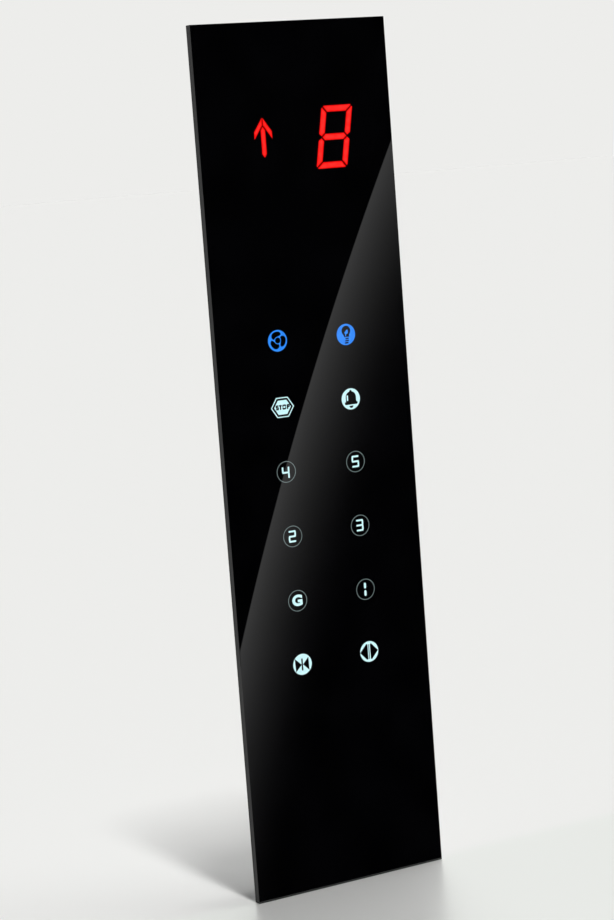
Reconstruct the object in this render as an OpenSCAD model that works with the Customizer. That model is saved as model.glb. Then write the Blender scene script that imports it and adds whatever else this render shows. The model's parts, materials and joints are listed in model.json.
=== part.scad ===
// Elevator car operating panel: touch glass on a hinged carrier over a shallow wall box.
// Sizes are in millimetres. In the shared frame X is right as the passenger sees it and Z is up.
// The wall is the plane Y = 0 and the panel stands in front of it, at negative Y.
// The origin is the middle of the wall box's back plate, on the wall.
// The modules are drawn with x right, y up and z out of the wall, and stand() turns them upright.

/* [Front glass] */
// Width of the glass
glass_w = 150; // [135:1:180]
// Height of the glass
glass_h = 600; // [540:2:700]
// Thickness of the toughened glass
glass_t = 6; // [4:0.5:10]
// Ground arris along the edges of the glass
glass_arris = 0.5; // [0.3:0.1:1]

/* [Touch keys] */
// Distance from a side edge of the glass in to the nearer column of keys
key_edge = 48; // [48:0.5:51]
// Distance between rows of keys
key_pitch_y = 45; // [42:0.5:46]
// Distance from the display's middle down to the top row of keys
key_drop = 135; // [126:0.5:141]
// Diameter of the lens behind each lit mark
lens_d = 17; // [14:0.5:17]
// Thickness of each lens
lens_t = 2; // [1:0.25:2.5]

/* [Floor display] */
// Distance from the top edge of the glass down to the display's middle
display_drop = 79.5; // [78:0.5:84]
// Distance from the right edge of the glass in to the digit's middle
digit_edge = 46; // [46:0.5:51]
// Height of the digit
digit_h = 42.4; // [36:0.2:44]
// Width of the digit before it leans
digit_w = 24.4; // [20:0.2:25]
// Lean of the digit in degrees
digit_slant = 10; // [0:1:10]
// Width of the digit's bars
bar_t = 4.3; // [3:0.1:5]
// Distance from the left edge of the glass in to the arrow's middle
arrow_edge = 48.8; // [47:0.2:51]
// Height of the arrow's middle above the digit's middle
arrow_rise = 2.5; // [0:0.1:4]
// Width of the arrow
arrow_w = 13.6; // [12:0.2:16]
// Height of the arrow
arrow_h = 26.6; // [24:0.2:30]
// Depth of the two display modules
module_t = 10; // [8:0.5:10]

/* [Wall box] */
// Distance from the glass edge in to the side of the box
box_inset_x = 19; // [17:0.5:19]
// Distance from the glass edge in to the top and bottom of the box
box_inset_y = 30; // [28:0.5:32]
// Depth of the box
box_d = 28; // [28:0.5:40]
// Thickness of the box's sheet
sheet_t = 1.5; // [1:0.1:2]
// Width of the lips turned in at the front of the box
lip_w = 6; // [5:0.5:6]
// Outside radius of the rails' folds
bend_r = 3; // [2.5:0.5:4]
// Thickness of the dust seal on the lips
seal_t = 1; // [0.5:0.1:2]
// Distance from a side of the box in to the wall fixing holes
fixing_edge_x = 16; // [14:0.5:21]
// Distance from an end of the box in to the wall fixing holes
fixing_edge_y = 30; // [25:1:50]
// Diameter of the wall fixing holes
fixing_d = 5.5; // [4.5:0.1:7]
// Clear bore of the cable bush
cable_d = 22; // [16:1:26]
// Height of the cable entry above the bottom of the box
cable_up = 58; // [54:1:62]

/* [Carrier plate] */
// Thickness of the steel carrier behind the glass
carrier_t = 2; // [1.5:0.1:2.5]
// Distance from the glass edge in to the carrier edge
carrier_margin = 4; // [3:0.5:4]
// Thickness of the bonding tape
tape_t = 1; // [0.6:0.1:1.5]
// Width of the bonding tape
tape_w = 10; // [6:0.5:10]
// Thickness of the touch sensor foil
foil_t = 0.3; // [0.2:0.05:0.5]
// Room between a piece and the window it stands in
window_gap = 0.4; // [0.2:0.1:0.5]

/* [Hinges] */
// Length of each hinge
hinge_len = 60; // [50:1:80]
// Distance from an end of the box in to the middle of each hinge
hinge_edge = 80; // [70:1:120]
// Diameter of the hinge pins
pin_d = 3; // [2.5:0.1:3.2]
// Wall of the knuckles around the pin
knuckle_wall = 1.5; // [1.2:0.1:1.6]
// Thickness of the hinge leaves
leaf_t = 1.2; // [1:0.1:1.4]
// Width of each leaf from the pin's axis
leaf_w = 10.5; // [10:0.1:10.8]
// Room between a knuckle and the other half of the hinge
hinge_gap = 0.4; // [0.3:0.05:0.5]
// Radial clearance of the pin in the knuckles
pin_clear = 0.05; // [0.02:0.01:0.1]
// Diameter of the rivets
rivet_d = 3; // [2.4:0.1:3.2]

/* [Lock] */
// Distance from the left side of the box in to the lock
lock_edge = 34; // [33:0.5:38]
// Diameter of the lock barrel
barrel_d = 16; // [15:0.5:17]
// Length of the barrel inside the box
barrel_len = 14; // [12:0.5:15]
// Diameter of the turning plug
plug_d = 12; // [11:0.5:12]
// Radial clearance of the plug in the barrel
plug_clear = 0.05; // [0.02:0.01:0.1]
// Reach of the cam from the lock's axis
cam_reach = 13; // [12:0.5:13]
// Width of the cam
cam_w = 8; // [7:0.5:9]
// Thickness of the cam and of its keeper
cam_t = 2; // [1.5:0.25:2.5]

/* [Circuit boards] */
// Thickness of the boards
board_t = 1.6; // [1.2:0.1:1.6]
// Distance from a side of the box in to the key board and the controller board
board_room = 11; // [9:0.5:11]
// Distance from a board's edge in to its studs
stud_edge = 4; // [4:0.25:4.5]
// Diameter of the studs welded to the carrier
stud_d = 3; // [2.5:0.1:3]
// Thickness of the light frame's flange between carrier and key board
flange_t = 1.8; // [1.2:0.1:2]
// Length of the spacers between the key board and the controller board
spacer_h = 8; // [6:0.5:8]
// Number of ways of the pluggable terminals
terminal_ways = 10; // [6:1:11]

/* [Reset button] */
// Diameter of the reset button
reset_d = 3.5; // [2.5:0.1:4]
// Travel of the reset button
reset_travel = 0.25; // [0.15:0.05:0.4]

/* [Hidden] */
$fn = 48;

// Levels out from the wall, back to front
z_carrier = box_d + seal_t;
z_tape = z_carrier + carrier_t;
z_glass = z_tape + tape_t;
z_foil = z_glass - foil_t;
z_key_front = z_carrier - flange_t;
z_key_back = z_key_front - board_t;
z_ctrl_front = z_key_back - spacer_h;
z_ctrl_back = z_ctrl_front - board_t;
z_disp_front = z_glass - module_t;
z_disp_back = z_disp_front - board_t;

// Wall box
box_w = glass_w - 2 * box_inset_x;
box_h = glass_h - 2 * box_inset_y;
rail_len = box_h - 4;
fixing_x = box_w - 2 * fixing_edge_x;
fixing_y = box_h - 2 * fixing_edge_y;
cable_y = cable_up - box_h / 2;
bush_wall = 3;
bush_flange = 3;
bush_flange_t = 2;
fit_gap = 0.1;
earth_edge = 16;
earth_up = 24;
earth_x = box_w / 2 - earth_edge;
earth_y = earth_up - box_h / 2;
earth_d = 5;
earth_len = 13;
earth_nut_w = 8;
earth_nut_t = 4;
washer_d = 10;
washer_t = 1;

// Carrier
carrier_w = glass_w - 2 * carrier_margin;
carrier_h = glass_h - 2 * carrier_margin;
tape_inset = 1;

// Places of the display and of the keys below it
display_y = glass_h / 2 - display_drop;
digit_x = glass_w / 2 - digit_edge;
arrow_x = arrow_edge - glass_w / 2;
arrow_y = display_y + arrow_rise;
key_top = display_y - key_drop;
tape_y = (display_y + key_top) / 2;

// Touch keys: the columns, the lowest row, the middle of the block and the size of its window
key_rows = 6;
key_pitch_x = glass_w - 2 * key_edge;
key_low = key_top - (key_rows - 1) * key_pitch_y;
key_mid = (key_top + key_low) / 2;
frame_wall = 1;
frame_w = key_pitch_x + lens_d + 2 * fit_gap + 2 * frame_wall;
frame_h = (key_rows - 1) * key_pitch_y + lens_d + 8;
key_win_w = frame_w + 2 * window_gap;
key_win_h = frame_h + 2 * window_gap;
well_d = 9;
led_w = 3.5;
led_h = 2.8;
led_t = 1.9;
cup_d = 2.3;
cup_slope = 0.3;
cup_t = 0.5;

// Cored pockets in the back of the light frame, in the gaps between the wells
core_wall = 1.2;
core_skin = 1.5;
core_depth = z_foil - core_skin - z_key_front;
core_h = (key_pitch_y - lens_d - 2 * fit_gap - 3 * core_wall) / 2;
core_mid_w = (key_pitch_x - lens_d - 2 * fit_gap - 3 * core_wall) / 2;

// Boards and their studs
board_w = box_w - 2 * board_room;
key_board_h = key_rows * key_pitch_y;
stud_x = board_w / 2 - stud_edge;
stud_rows = 4;
stud_inset_y = 8;
stud_pitch = (key_board_h - 2 * stud_inset_y) / (stud_rows - 1);
stud_y = [for (i = [0 : stud_rows - 1]) key_mid + key_board_h / 2 - stud_inset_y - i * stud_pitch];
stud_grip = 3.4;
stud_hole = stud_d + 2 * fit_gap;
nut_w = 5.5;
nut_t = 2.4;
board_r = 2;
ctrl_h = stud_pitch + 12;
ctrl_y = (stud_y[2] + stud_y[3]) / 2;
screw_head_d = 5.6;
screw_head_t = 2;
screw_grip = 3.4;

// Floor display
digit_box_w = digit_w + digit_h * tan(digit_slant) + 2;
digit_box_h = digit_h + 7;
arrow_box_w = arrow_w + 10;
arrow_box_h = arrow_h + 10;
bar_depth = 4;
bar_gap = 0.6;
bar_corner = 1.2;
disp_board_w = box_w - 2 * lip_w - 4;
disp_stud_y = digit_box_h / 2 + 8;
disp_board_h = 2 * disp_stud_y + 11;

// Hinges
hinge_spacing = box_h - 2 * hinge_edge;
knuckle_r = pin_d / 2 + knuckle_wall;
x_pin = box_w / 2 + knuckle_r + hinge_gap;
z_pin = z_carrier - knuckle_r - hinge_gap;
knuckles = 5;
knuckle_gap = 0.5;
knuckle_len = (hinge_len - (knuckles - 1) * knuckle_gap) / knuckles;
pin_head_d = pin_d + 1.6;
pin_head_t = 1;
rivet_head_d = rivet_d + 2.4;
rivet_head_t = 0.9;
rivet_at = knuckle_r + hinge_gap + 3.1;
rivet_pitch = hinge_len * 0.36;

// Lock
lock_x = lock_edge - box_w / 2;
lock_z = box_d / 2;
lock_flange_d = barrel_d + 6;
lock_flange_t = 2;
plug_head_d = plug_d + 2;
plug_play = 0.2;
lock_nut_w = barrel_d + 4;
lock_nut_t = 3;
key_recess_d = plug_d - 2.5;
key_recess_t = 6;
key_stud_d = key_recess_d - 1.5;
tenon_w = 7;
cam_hub_d = 13;
cam_at = barrel_len + plug_play;
cam_screw_d = 4;
cam_screw_grip = 6;
cam_head_d = 8;
cam_head_t = 2.5;
keeper_y = cam_at + cam_t / 2 - box_h / 2;
keeper_h = 15;
keeper_web_x = lock_x - cam_reach - 2;
keeper_base_w = 10;
keeper_gap = 0.5;
keeper_bend_r = cam_t + 0.5;

// Parts on the controller board, placed from its edges or its middle
relay_w = 20;
relay_h = 10;
relay_t = 11;
relay_gap = 2;
relay_lip = 0.3;
relay_r = 0.8;
relay_base_t = 2;
vent_edge = 3;
vent_d = 1.2;
vent_t = 0.6;
relay_x = 14 - board_w / 2;
relay_y = 28.5 - ctrl_h / 2;
buzzer_d = 12;
buzzer_t = 9;
buzzer_x = board_w / 2 - 18;
buzzer_y = 31.5 - ctrl_h / 2;
cap_d = 8;
cap_t = 10.5;
cap_gap = 1;
score_len = 5;
score_w = 0.4;
score_t = 0.3;
cap_x = -4;
choke_w = 12;
choke_t = 6;
drum_d = 9.4;
drum_gap = 0.7;
drum_gap_t = 1.2;
choke_x = choke_w - board_w / 2;
supply_y = 5;
chip_w = 12;
chip_t = 1.5;
chip_arris = 0.3;
dimple_edge = 1.6;
dimple_d = 1.2;
dimple_t = 0.15;
processor_x = board_w / 2 - 21;
processor_y = 10;
reset_x = board_w / 2 - 17;
reset_y = ctrl_h / 2 - 16.5;
way_pitch = 5.08;
terminal_w = terminal_ways * way_pitch;
header_wall = 1.2;
header_h = 11;
header_t = 8.5;
notch_w = 2.4;
notch_len = 4.5;
plug_tongue = 9;
plug_body_h = 11;
plug_body_t = 10.5;
entry_w = 3.2;
entry_t = 3.8;
entry_len = 6;
entry_up = 4;
way_groove = 0.5;
screw_well_d = 3.6;
screw_well_t = 3.5;
switch_w = 6;
switch_t = 3.6;
switch_well = 2.6;
switch_post_d = 1;
switch_post_t = 0.3;
switch_post_edge = 0.9;
reset_clear = 0.05;
reset_out = 1.4;
link_pins = 10;
link_pitch = 2.54;
link_pin = 0.64;
link_w = link_pins * link_pitch;
link_h = 5;
link_base_t = 2.5;
link_gap = 0.5;

// Ribbon between the display board and the key board
ribbon_w = 12.7;
ribbon_t = 0.9;
socket_w = 18;
socket_h = 6;
socket_t = 7;
clamp_t = 1.6;
polar_w = 4;
polar_t = 0.8;
polar_len = 3;
ribbon_top = display_y - disp_board_h / 2 + 7;
ribbon_low = key_mid + key_board_h / 2 - 9;

// Turns the drawing frame upright into the shared frame.
module stand() {
    rotate([90, 0, 0]) children();
}

// A rectangle with round corners, about its middle.
module round_rect(w, h, r) {
    square([w - 2 * r, h], center = true);
    square([w, h - 2 * r], center = true);
    for (sx = [-1, 1], sy = [-1, 1])
        translate([sx * (w / 2 - r), sy * (h / 2 - r)]) circle(r = r);
}

// A rectangle with its four corners cut at 45 degrees, about its middle.
module cut_rect(w, h, c) {
    polygon([
        [c - w / 2, -h / 2], [w / 2 - c, -h / 2], [w / 2, c - h / 2], [w / 2, h / 2 - c],
        [w / 2 - c, h / 2], [c - w / 2, h / 2], [-w / 2, h / 2 - c], [-w / 2, c - h / 2]
    ]);
}

// A block with every edge cut at 45 degrees, standing on z = 0.
module arris_block(w, h, t, c) {
    intersection() {
        linear_extrude(t) cut_rect(w, h, c);
        translate([0, h / 2, t / 2]) rotate([90, 0, 0]) linear_extrude(h) cut_rect(w, t, c);
        translate([-w / 2, 0, t / 2]) rotate([90, 0, 90]) linear_extrude(w) cut_rect(h, t, c);
    }
}

// What rounding takes off an outer corner at the origin that opens towards +x and +y.
module corner_cut(r) {
    difference() {
        translate([-0.01, -0.01]) square(r + 0.01);
        translate([r, r]) circle(r = r);
    }
}

// A chip's moulded body standing on z = 0, with cut edges and a dimple at its first leg.
module chip(w, h) {
    difference() {
        arris_block(w, h, chip_t, chip_arris);
        translate([dimple_edge - w / 2, h / 2 - dimple_edge, chip_t - dimple_t])
            cylinder(d = dimple_d, h = 1);
    }
}

// Section of a folded rail: a web up from the back plate and a lip turned in over the box.
// The web's outer face is on x = 0 and the lip runs towards +x.
module rail_section() {
    inner_r = bend_r - sheet_t;
    difference() {
        union() {
            translate([0, sheet_t]) square([lip_w, box_d - bend_r - sheet_t]);
            translate([bend_r, sheet_t]) square([lip_w - bend_r, box_d - sheet_t]);
            translate([bend_r, box_d - bend_r]) circle(r = bend_r);
        }
        translate([sheet_t, 0]) square([lip_w, box_d - bend_r]);
        translate([bend_r, 0]) square([lip_w, box_d - sheet_t]);
        translate([bend_r, box_d - bend_r]) circle(r = inner_r);
    }
}

// A hexagon bar along z with a bore, as wide across its flats as w.
module hex_ring(w, t, bore) {
    difference() {
        cylinder(d = w / cos(30), h = t, $fn = 6);
        translate([0, 0, -1]) cylinder(d = bore, h = t + 2);
    }
}

// A rivet along z: a low domed head below z = 0, its shank above, and a tail head if tail is set.
module rivet(grip, tail) {
    crown_d = rivet_head_d - 1.2;
    translate([0, 0, -rivet_head_t]) cylinder(d1 = crown_d, d2 = rivet_head_d, h = rivet_head_t);
    cylinder(d = rivet_d, h = grip);
    if (tail) translate([0, 0, grip]) cylinder(d1 = rivet_head_d, d2 = crown_d, h = rivet_head_t);
}

// Places its children at the middle of every key.
module at_keys() {
    for (sx = [-1, 1], i = [0 : key_rows - 1])
        translate([sx * key_pitch_x / 2, key_top - i * key_pitch_y, 0]) children();
}

// Places its children at the studs of the rows given.
module at_studs(rows) {
    for (sx = [-1, 1], i = rows) translate([sx * stud_x, stud_y[i], 0]) children();
}

// Places its children at the four studs of the display board.
module at_display_studs() {
    for (sx = [-1, 1], sy = [-1, 1])
        translate([sx * stud_x, display_y + sy * disp_stud_y, 0]) children();
}

// Turns children that stand on a board's front so that they hang from its back face at height z.
module hang(x, y, z) {
    translate([x, y, z]) mirror([0, 0, 1]) children();
}

// Places its children on the controller board's back, from the board's middle.
module on_controller(x, y) {
    hang(x, ctrl_y + y, z_ctrl_back) children();
}

// Places its children at both hinges, with z along the pin.
module at_hinges() {
    for (s = [-1, 1])
        translate([x_pin, s * hinge_spacing / 2, z_pin]) rotate([-90, 0, 0]) children();
}

// Places its children at the lock, with z along its axis into the box and y towards the wall.
module at_lock() {
    translate([lock_x, -box_h / 2, lock_z]) rotate([-90, 0, 0]) children();
}

// Start of a hinge's knuckle i along the pin.
function knuckle_start(i) = i * (knuckle_len + knuckle_gap) - hinge_len / 2;

// Points moved sideways so that the digit leans.
function lean(points) = [for (p = points) [p[0] + p[1] * tan(digit_slant), p[1]]];

// Points mirrored across x = 0, or across y = 0.
function flip_x(points) = [for (p = points) [-p[0], p[1]]];
function flip_y(points) = [for (p = points) [p[0], -p[1]]];

// Outlines of the seven bars about the digit's middle, before it leans.
digit_a = digit_w / 2;
digit_b = digit_h / 2;
bar_top = [
    [bar_gap + bar_corner - digit_a, digit_b], [bar_gap + bar_corner / 2 - digit_a, digit_b - bar_corner / 2],
    [bar_gap + bar_t - digit_a, digit_b - bar_t], [digit_a - bar_t - bar_gap, digit_b - bar_t],
    [digit_a - bar_gap - bar_corner / 2, digit_b - bar_corner / 2], [digit_a - bar_gap - bar_corner, digit_b]
];
bar_side = [
    [bar_corner / 2 - digit_a, digit_b - bar_gap - bar_corner / 2],
    [-digit_a, digit_b - bar_gap - bar_corner], [-digit_a, bar_gap + bar_t * 0.4],
    [bar_t / 2 - digit_a, bar_gap], [bar_t - digit_a, bar_gap + bar_t / 2],
    [bar_t - digit_a, digit_b - bar_t - bar_gap]
];
bar_mid = [
    [bar_gap + bar_t / 2 - digit_a, 0], [bar_gap + bar_t - digit_a, -bar_t / 2],
    [digit_a - bar_t - bar_gap, -bar_t / 2], [digit_a - bar_t / 2 - bar_gap, 0],
    [digit_a - bar_t - bar_gap, bar_t / 2], [bar_gap + bar_t - digit_a, bar_t / 2]
];
digit_outlines = [
    lean(bar_top), lean(flip_y(bar_top)), lean(bar_mid), lean(bar_side),
    lean(flip_x(bar_side)), lean(flip_y(bar_side)), lean(flip_x(flip_y(bar_side)))
];

// Outlines of the arrow's stem and of its two slanting arms, about the arrow's middle.
arrow_a = arrow_w / 2;
arrow_b = arrow_h / 2;
arm_fall = 9.2;
arm_deep = 5;
stem_a = 1.7;
stem_tip = 2.4;
arm = [
    [-bar_gap / 2, arrow_b], [-arrow_a, arrow_b - arm_fall],
    [-arrow_a, arrow_b - arm_fall - arm_deep], [-bar_gap / 2, arrow_b - arm_deep]
];
stem = [
    [0, arrow_b - arm_deep - 0.8], [-stem_a, arrow_b - arm_deep - 0.8 - stem_tip],
    [-stem_a, stem_tip - arrow_b], [0, -arrow_b], [stem_a, stem_tip - arrow_b],
    [stem_a, arrow_b - arm_deep - 0.8 - stem_tip]
];
arrow_outlines = [stem, arm, flip_x(arm)];

// Every outline of a list, as prisms that end at the glass.
module display_prisms(outlines, x, y, depth) {
    for (points = outlines)
        translate([x, y, z_glass - depth]) linear_extrude(depth) polygon(points);
}

// Steel plate against the car wall, with the fixing holes and the cable entry.
module box_back() {
    color("#8d9196") stand() linear_extrude(sheet_t) difference() {
        round_rect(box_w, box_h, 2);
        for (sx = [-1, 1], sy = [-1, 1])
            translate([sx * fixing_x / 2, sy * fixing_y / 2]) circle(d = fixing_d);
        translate([0, cable_y]) circle(d = cable_d + 2 * bush_wall + 2 * fit_gap);
    }
}

// Folded rails welded along the two sides of the back plate, drilled for the hinges on the right.
module box_side_rails() {
    color("#8d9196") stand() difference() {
        for (s = [-1, 1])
            translate([s * box_w / 2, rail_len / 2, 0]) mirror([s > 0 ? 1 : 0, 0, 0]) rotate([90, 0, 0])
                linear_extrude(rail_len) rail_section();
        at_hinges() for (i = [-1 : 1])
            translate([0, rivet_at, i * rivet_pitch]) rotate([0, -90, 0])
                cylinder(d = rivet_d + 2 * fit_gap, h = knuckle_r + hinge_gap + sheet_t + 1);
    }
}

// Folded rails welded across the top and bottom between the side rails, notched round their lips.
module box_end_rails() {
    w = box_w - 2 * sheet_t;
    notch = lip_w - sheet_t;
    color("#8d9196") stand() difference() {
        for (s = [-1, 1])
            translate([-w / 2, s * box_h / 2, 0]) mirror([0, s > 0 ? 1 : 0, 0]) rotate([90, 0, 90])
                linear_extrude(w) rail_section();
        for (sx = [-1, 1], sy = [-1, 1])
            translate([sx * (w - notch) / 2, sy * box_h / 2, box_d])
                cube([notch + 0.2, 4 * lip_w, 2 * bend_r], center = true);
        at_lock() translate([0, 0, -1]) cylinder(d = barrel_d + 2 * fit_gap, h = sheet_t + 2);
    }
}

// Foam ring on the box's lips that the closed carrier rests on.
module dust_seal() {
    color("#1c1d1f") stand() translate([0, 0, box_d]) linear_extrude(seal_t) difference() {
        round_rect(box_w - 1, box_h - 1, bend_r - 0.5);
        round_rect(box_w - 2 * lip_w + 1, box_h - 2 * lip_w + 1, 2);
    }
}

// Rubber bush that lines the cable entry, flush with the wall face.
module cable_bush() {
    bore_r = cable_d / 2;
    barrel_r = bore_r + bush_wall;
    top = sheet_t + bush_flange_t;
    color("#202124") stand() translate([0, cable_y, 0]) rotate_extrude() polygon([
        [bore_r, 0], [barrel_r, 0], [barrel_r, sheet_t], [barrel_r + bush_flange, sheet_t],
        [barrel_r + bush_flange, top - 0.7], [barrel_r + bush_flange - 0.7, top], [bore_r, top]
    ]);
}

// Weld stud on the box's back for the earth wire.
module earth_stud() {
    color("#b9a24c") stand() translate([earth_x, earth_y, sheet_t]) cylinder(d = earth_d, h = earth_len);
}

// Flanged nut on the earth stud.
module earth_nut() {
    bore = earth_d + fit_gap;
    color("#c8ccd0") stand() translate([earth_x, earth_y, sheet_t]) difference() {
        union() {
            cylinder(d = washer_d, h = washer_t);
            cylinder(d = earth_nut_w / cos(30), h = washer_t + earth_nut_t, $fn = 6);
        }
        translate([0, 0, -1]) cylinder(d = bore, h = washer_t + earth_nut_t + 2);
    }
}

// Hinge halves riveted to the outside of the box: leaf with the outer and middle knuckles.
module hinge_box_leaves() {
    reach = knuckle_r + hinge_gap;
    color("#a9adb1") stand() at_hinges() difference() {
        union() {
            translate([-reach, reach, -hinge_len / 2]) cube([leaf_t, leaf_w - reach, hinge_len]);
            for (i = [0 : 2 : knuckles - 1]) translate([0, 0, knuckle_start(i)]) {
                translate([-reach, 0, 0]) cube([leaf_t, leaf_w, knuckle_len]);
                cylinder(r = knuckle_r, h = knuckle_len);
            }
        }
        translate([0, 0, -hinge_len]) cylinder(r = pin_d / 2 + pin_clear, h = 2 * hinge_len);
        for (i = [-1 : 1]) translate([-reach - 1, rivet_at, i * rivet_pitch]) rotate([0, 90, 0])
            cylinder(d = rivet_d + 2 * fit_gap, h = leaf_t + 2);
    }
}

// Headed pins held by the box's hinge halves.
module hinge_pins() {
    color("#c9cdd1") stand() at_hinges() {
        translate([0, 0, -hinge_len / 2 - pin_head_t]) cylinder(d = pin_head_d, h = pin_head_t);
        translate([0, 0, -hinge_len / 2]) cylinder(d = pin_d, h = hinge_len);
        translate([0, 0, hinge_len / 2]) cylinder(d = pin_head_d, h = pin_head_t);
    }
}

// Rivets through the hinge leaves and the box's side.
module hinge_box_rivets() {
    reach = knuckle_r + hinge_gap;
    color("#c3c7cb") stand() at_hinges() for (i = [-1 : 1])
        translate([leaf_t - reach, rivet_at, i * rivet_pitch]) rotate([0, -90, 0])
            rivet(leaf_t + sheet_t, true);
}

// Lock housing pushed up through the bottom of the box.
module lock_barrel() {
    color("#b4b8bb") stand() at_lock() difference() {
        union() {
            translate([0, 0, -lock_flange_t]) cylinder(d = lock_flange_d, h = lock_flange_t);
            cylinder(d = barrel_d, h = barrel_len);
        }
        translate([0, 0, -lock_flange_t - 1])
            cylinder(r = plug_head_d / 2 + plug_clear, h = lock_flange_t + 1);
        translate([0, 0, -lock_flange_t - 1])
            cylinder(r = plug_d / 2 + plug_clear, h = barrel_len + lock_flange_t + 2);
    }
}

// Nut that clamps the lock housing to the box.
module lock_nut() {
    color("#aeb2b5") stand() at_lock() translate([0, 0, sheet_t])
        hex_ring(lock_nut_w, lock_nut_t, barrel_d + fit_gap);
}

// Toughened glass front, printed black, carrying the touch marks.
module front_glass() {
    color("#0b0b0d") stand() translate([0, 0, z_glass]) arris_block(glass_w, glass_h, glass_t, glass_arris);
}

// Bonding tape strips: two tall ones at the sides, three across between them.
module bonding_tape() {
    tall = carrier_h - 2 * tape_inset;
    across = carrier_w - 2 * tape_inset - 2 * tape_w;
    color("#2a2b2e") stand() translate([0, 0, z_tape]) linear_extrude(tape_t) {
        for (s = [-1, 1])
            translate([s * (carrier_w / 2 - tape_inset - tape_w / 2), 0])
                square([tape_w, tall], center = true);
        for (y = [-(tall - tape_w) / 2, tape_y, (tall - tape_w) / 2])
            translate([0, y]) square([across - 1, tape_w], center = true);
    }
}

// Steel plate behind the glass with windows for the keys and the two display modules.
module carrier_plate() {
    color("#9a9ea2") stand() difference() {
        translate([0, 0, z_carrier]) linear_extrude(carrier_t) difference() {
            round_rect(carrier_w, carrier_h, 2);
            translate([0, key_mid]) round_rect(key_win_w, key_win_h, 1.5);
            translate([digit_x, display_y])
                square([digit_box_w + 2 * window_gap, digit_box_h + 2 * window_gap], center = true);
            translate([arrow_x, arrow_y])
                square([arrow_box_w + 2 * window_gap, arrow_box_h + 2 * window_gap], center = true);
        }
        at_hinges() for (i = [-1 : 1]) translate([rivet_at, 0, i * rivet_pitch]) rotate([90, 0, 0])
            cylinder(d = rivet_d + 2 * fit_gap, h = 4 * carrier_t + knuckle_r);
        at_keeper_rivets() translate([0, 0, -1]) cylinder(d = rivet_d + 2 * fit_gap, h = 20);
    }
}

// Studs welded to the carrier's back for the boards.
module carrier_studs() {
    key_len = flange_t + board_t + stud_grip;
    display_len = z_carrier - z_disp_back + stud_grip;
    color("#c0b15a") stand() {
        at_studs([0 : stud_rows - 1])
            translate([0, 0, z_carrier - key_len]) cylinder(d = stud_d, h = key_len);
        at_display_studs() translate([0, 0, z_carrier - display_len]) cylinder(d = stud_d, h = display_len);
    }
}

// Clear foil with the touch electrodes, between the light frame and the glass.
module sensor_foil() {
    color("#c9b48a") stand() translate([0, key_mid, z_foil]) linear_extrude(foil_t)
        round_rect(frame_w, frame_h, 1.2);
}

// Pockets that keep the light frame's walls even, with ribs between them, in each gap between wells.
module light_frame_cores() {
    columns = [
        [-key_pitch_x / 2, lens_d], [-(core_mid_w + core_wall) / 2, core_mid_w],
        [(core_mid_w + core_wall) / 2, core_mid_w], [key_pitch_x / 2, lens_d]
    ];
    for (i = [0 : key_rows - 2], s = [-1, 1], c = columns)
        translate([c[0], key_top - (i + 0.5) * key_pitch_y + s * (core_h + core_wall) / 2, z_key_front - 1])
            linear_extrude(core_depth + 1) round_rect(c[1], core_h, 1);
}

// Black moulding with a tapered light well behind every mark, bolted between carrier and key board.
module light_frame() {
    tower_t = z_foil - z_carrier;
    color("#17181a") stand() difference() {
        union() {
            translate([0, key_mid, z_key_front]) linear_extrude(flange_t)
                round_rect(board_w, key_board_h, board_r);
            translate([0, key_mid, z_carrier]) linear_extrude(tower_t) round_rect(frame_w, frame_h, 1.2);
        }
        at_keys() {
            translate([0, 0, z_key_front - 0.01])
                cylinder(d1 = well_d, d2 = lens_d - 1.5, h = z_foil - lens_t - z_key_front + 0.02);
            translate([0, 0, z_foil - lens_t]) cylinder(d = lens_d + 2 * fit_gap, h = lens_t + 1);
        }
        light_frame_cores();
        at_studs([0 : stud_rows - 1])
            translate([0, 0, z_key_front - 1]) cylinder(d = stud_hole, h = flange_t + 2);
    }
}

// Milky lenses set in the mouths of the light wells.
module mark_lenses() {
    color("#eef3f4") stand() at_keys() translate([0, 0, z_foil - lens_t]) cylinder(d = lens_d, h = lens_t);
}

// Board that carries the key lamps and the touch chips.
module key_board() {
    color("#1d5a36") stand() translate([0, 0, z_key_back]) linear_extrude(board_t) difference() {
        translate([0, key_mid]) round_rect(board_w, key_board_h, board_r);
        at_studs([0 : stud_rows - 1]) circle(d = stud_hole);
    }
}

// One lamp in every light well, with a round cup in its face.
module key_leds() {
    color("#f3efdc") stand() at_keys() translate([0, 0, z_key_front]) difference() {
        translate([-led_w / 2, -led_h / 2, 0]) cube([led_w, led_h, led_t]);
        translate([0, 0, led_t - cup_t])
            cylinder(d1 = cup_d - cup_slope, d2 = cup_d + cup_slope, h = 2 * cup_t);
    }
}

// Touch chips on the key board's back.
module touch_chips() {
    color("#222326") stand() for (i = [1, 2])
        hang(0, key_top + key_pitch_y / 2 - i * key_pitch_y, z_key_back) chip(chip_w, chip_w);
}

// Housing of the floor digit, with a well for every bar.
module digit_display() {
    color("#26282b") stand() difference() {
        translate([digit_x - digit_box_w / 2, display_y - digit_box_h / 2, z_disp_front])
            cube([digit_box_w, digit_box_h, module_t]);
        translate([0, 0, 1]) display_prisms(digit_outlines, digit_x, display_y, bar_depth + 1);
    }
}

// The seven lit bars of the floor digit.
module digit_bars() {
    color("#ff2a28") stand() display_prisms(digit_outlines, digit_x, display_y, bar_depth);
}

// Housing of the direction arrow.
module arrow_display() {
    color("#26282b") stand() difference() {
        translate([arrow_x - arrow_box_w / 2, arrow_y - arrow_box_h / 2, z_disp_front])
            cube([arrow_box_w, arrow_box_h, module_t]);
        translate([0, 0, 1]) display_prisms(arrow_outlines, arrow_x, arrow_y, bar_depth + 1);
    }
}

// The three lit bars of the direction arrow.
module arrow_bars() {
    color("#ff2a28") stand() display_prisms(arrow_outlines, arrow_x, arrow_y, bar_depth);
}

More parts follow.
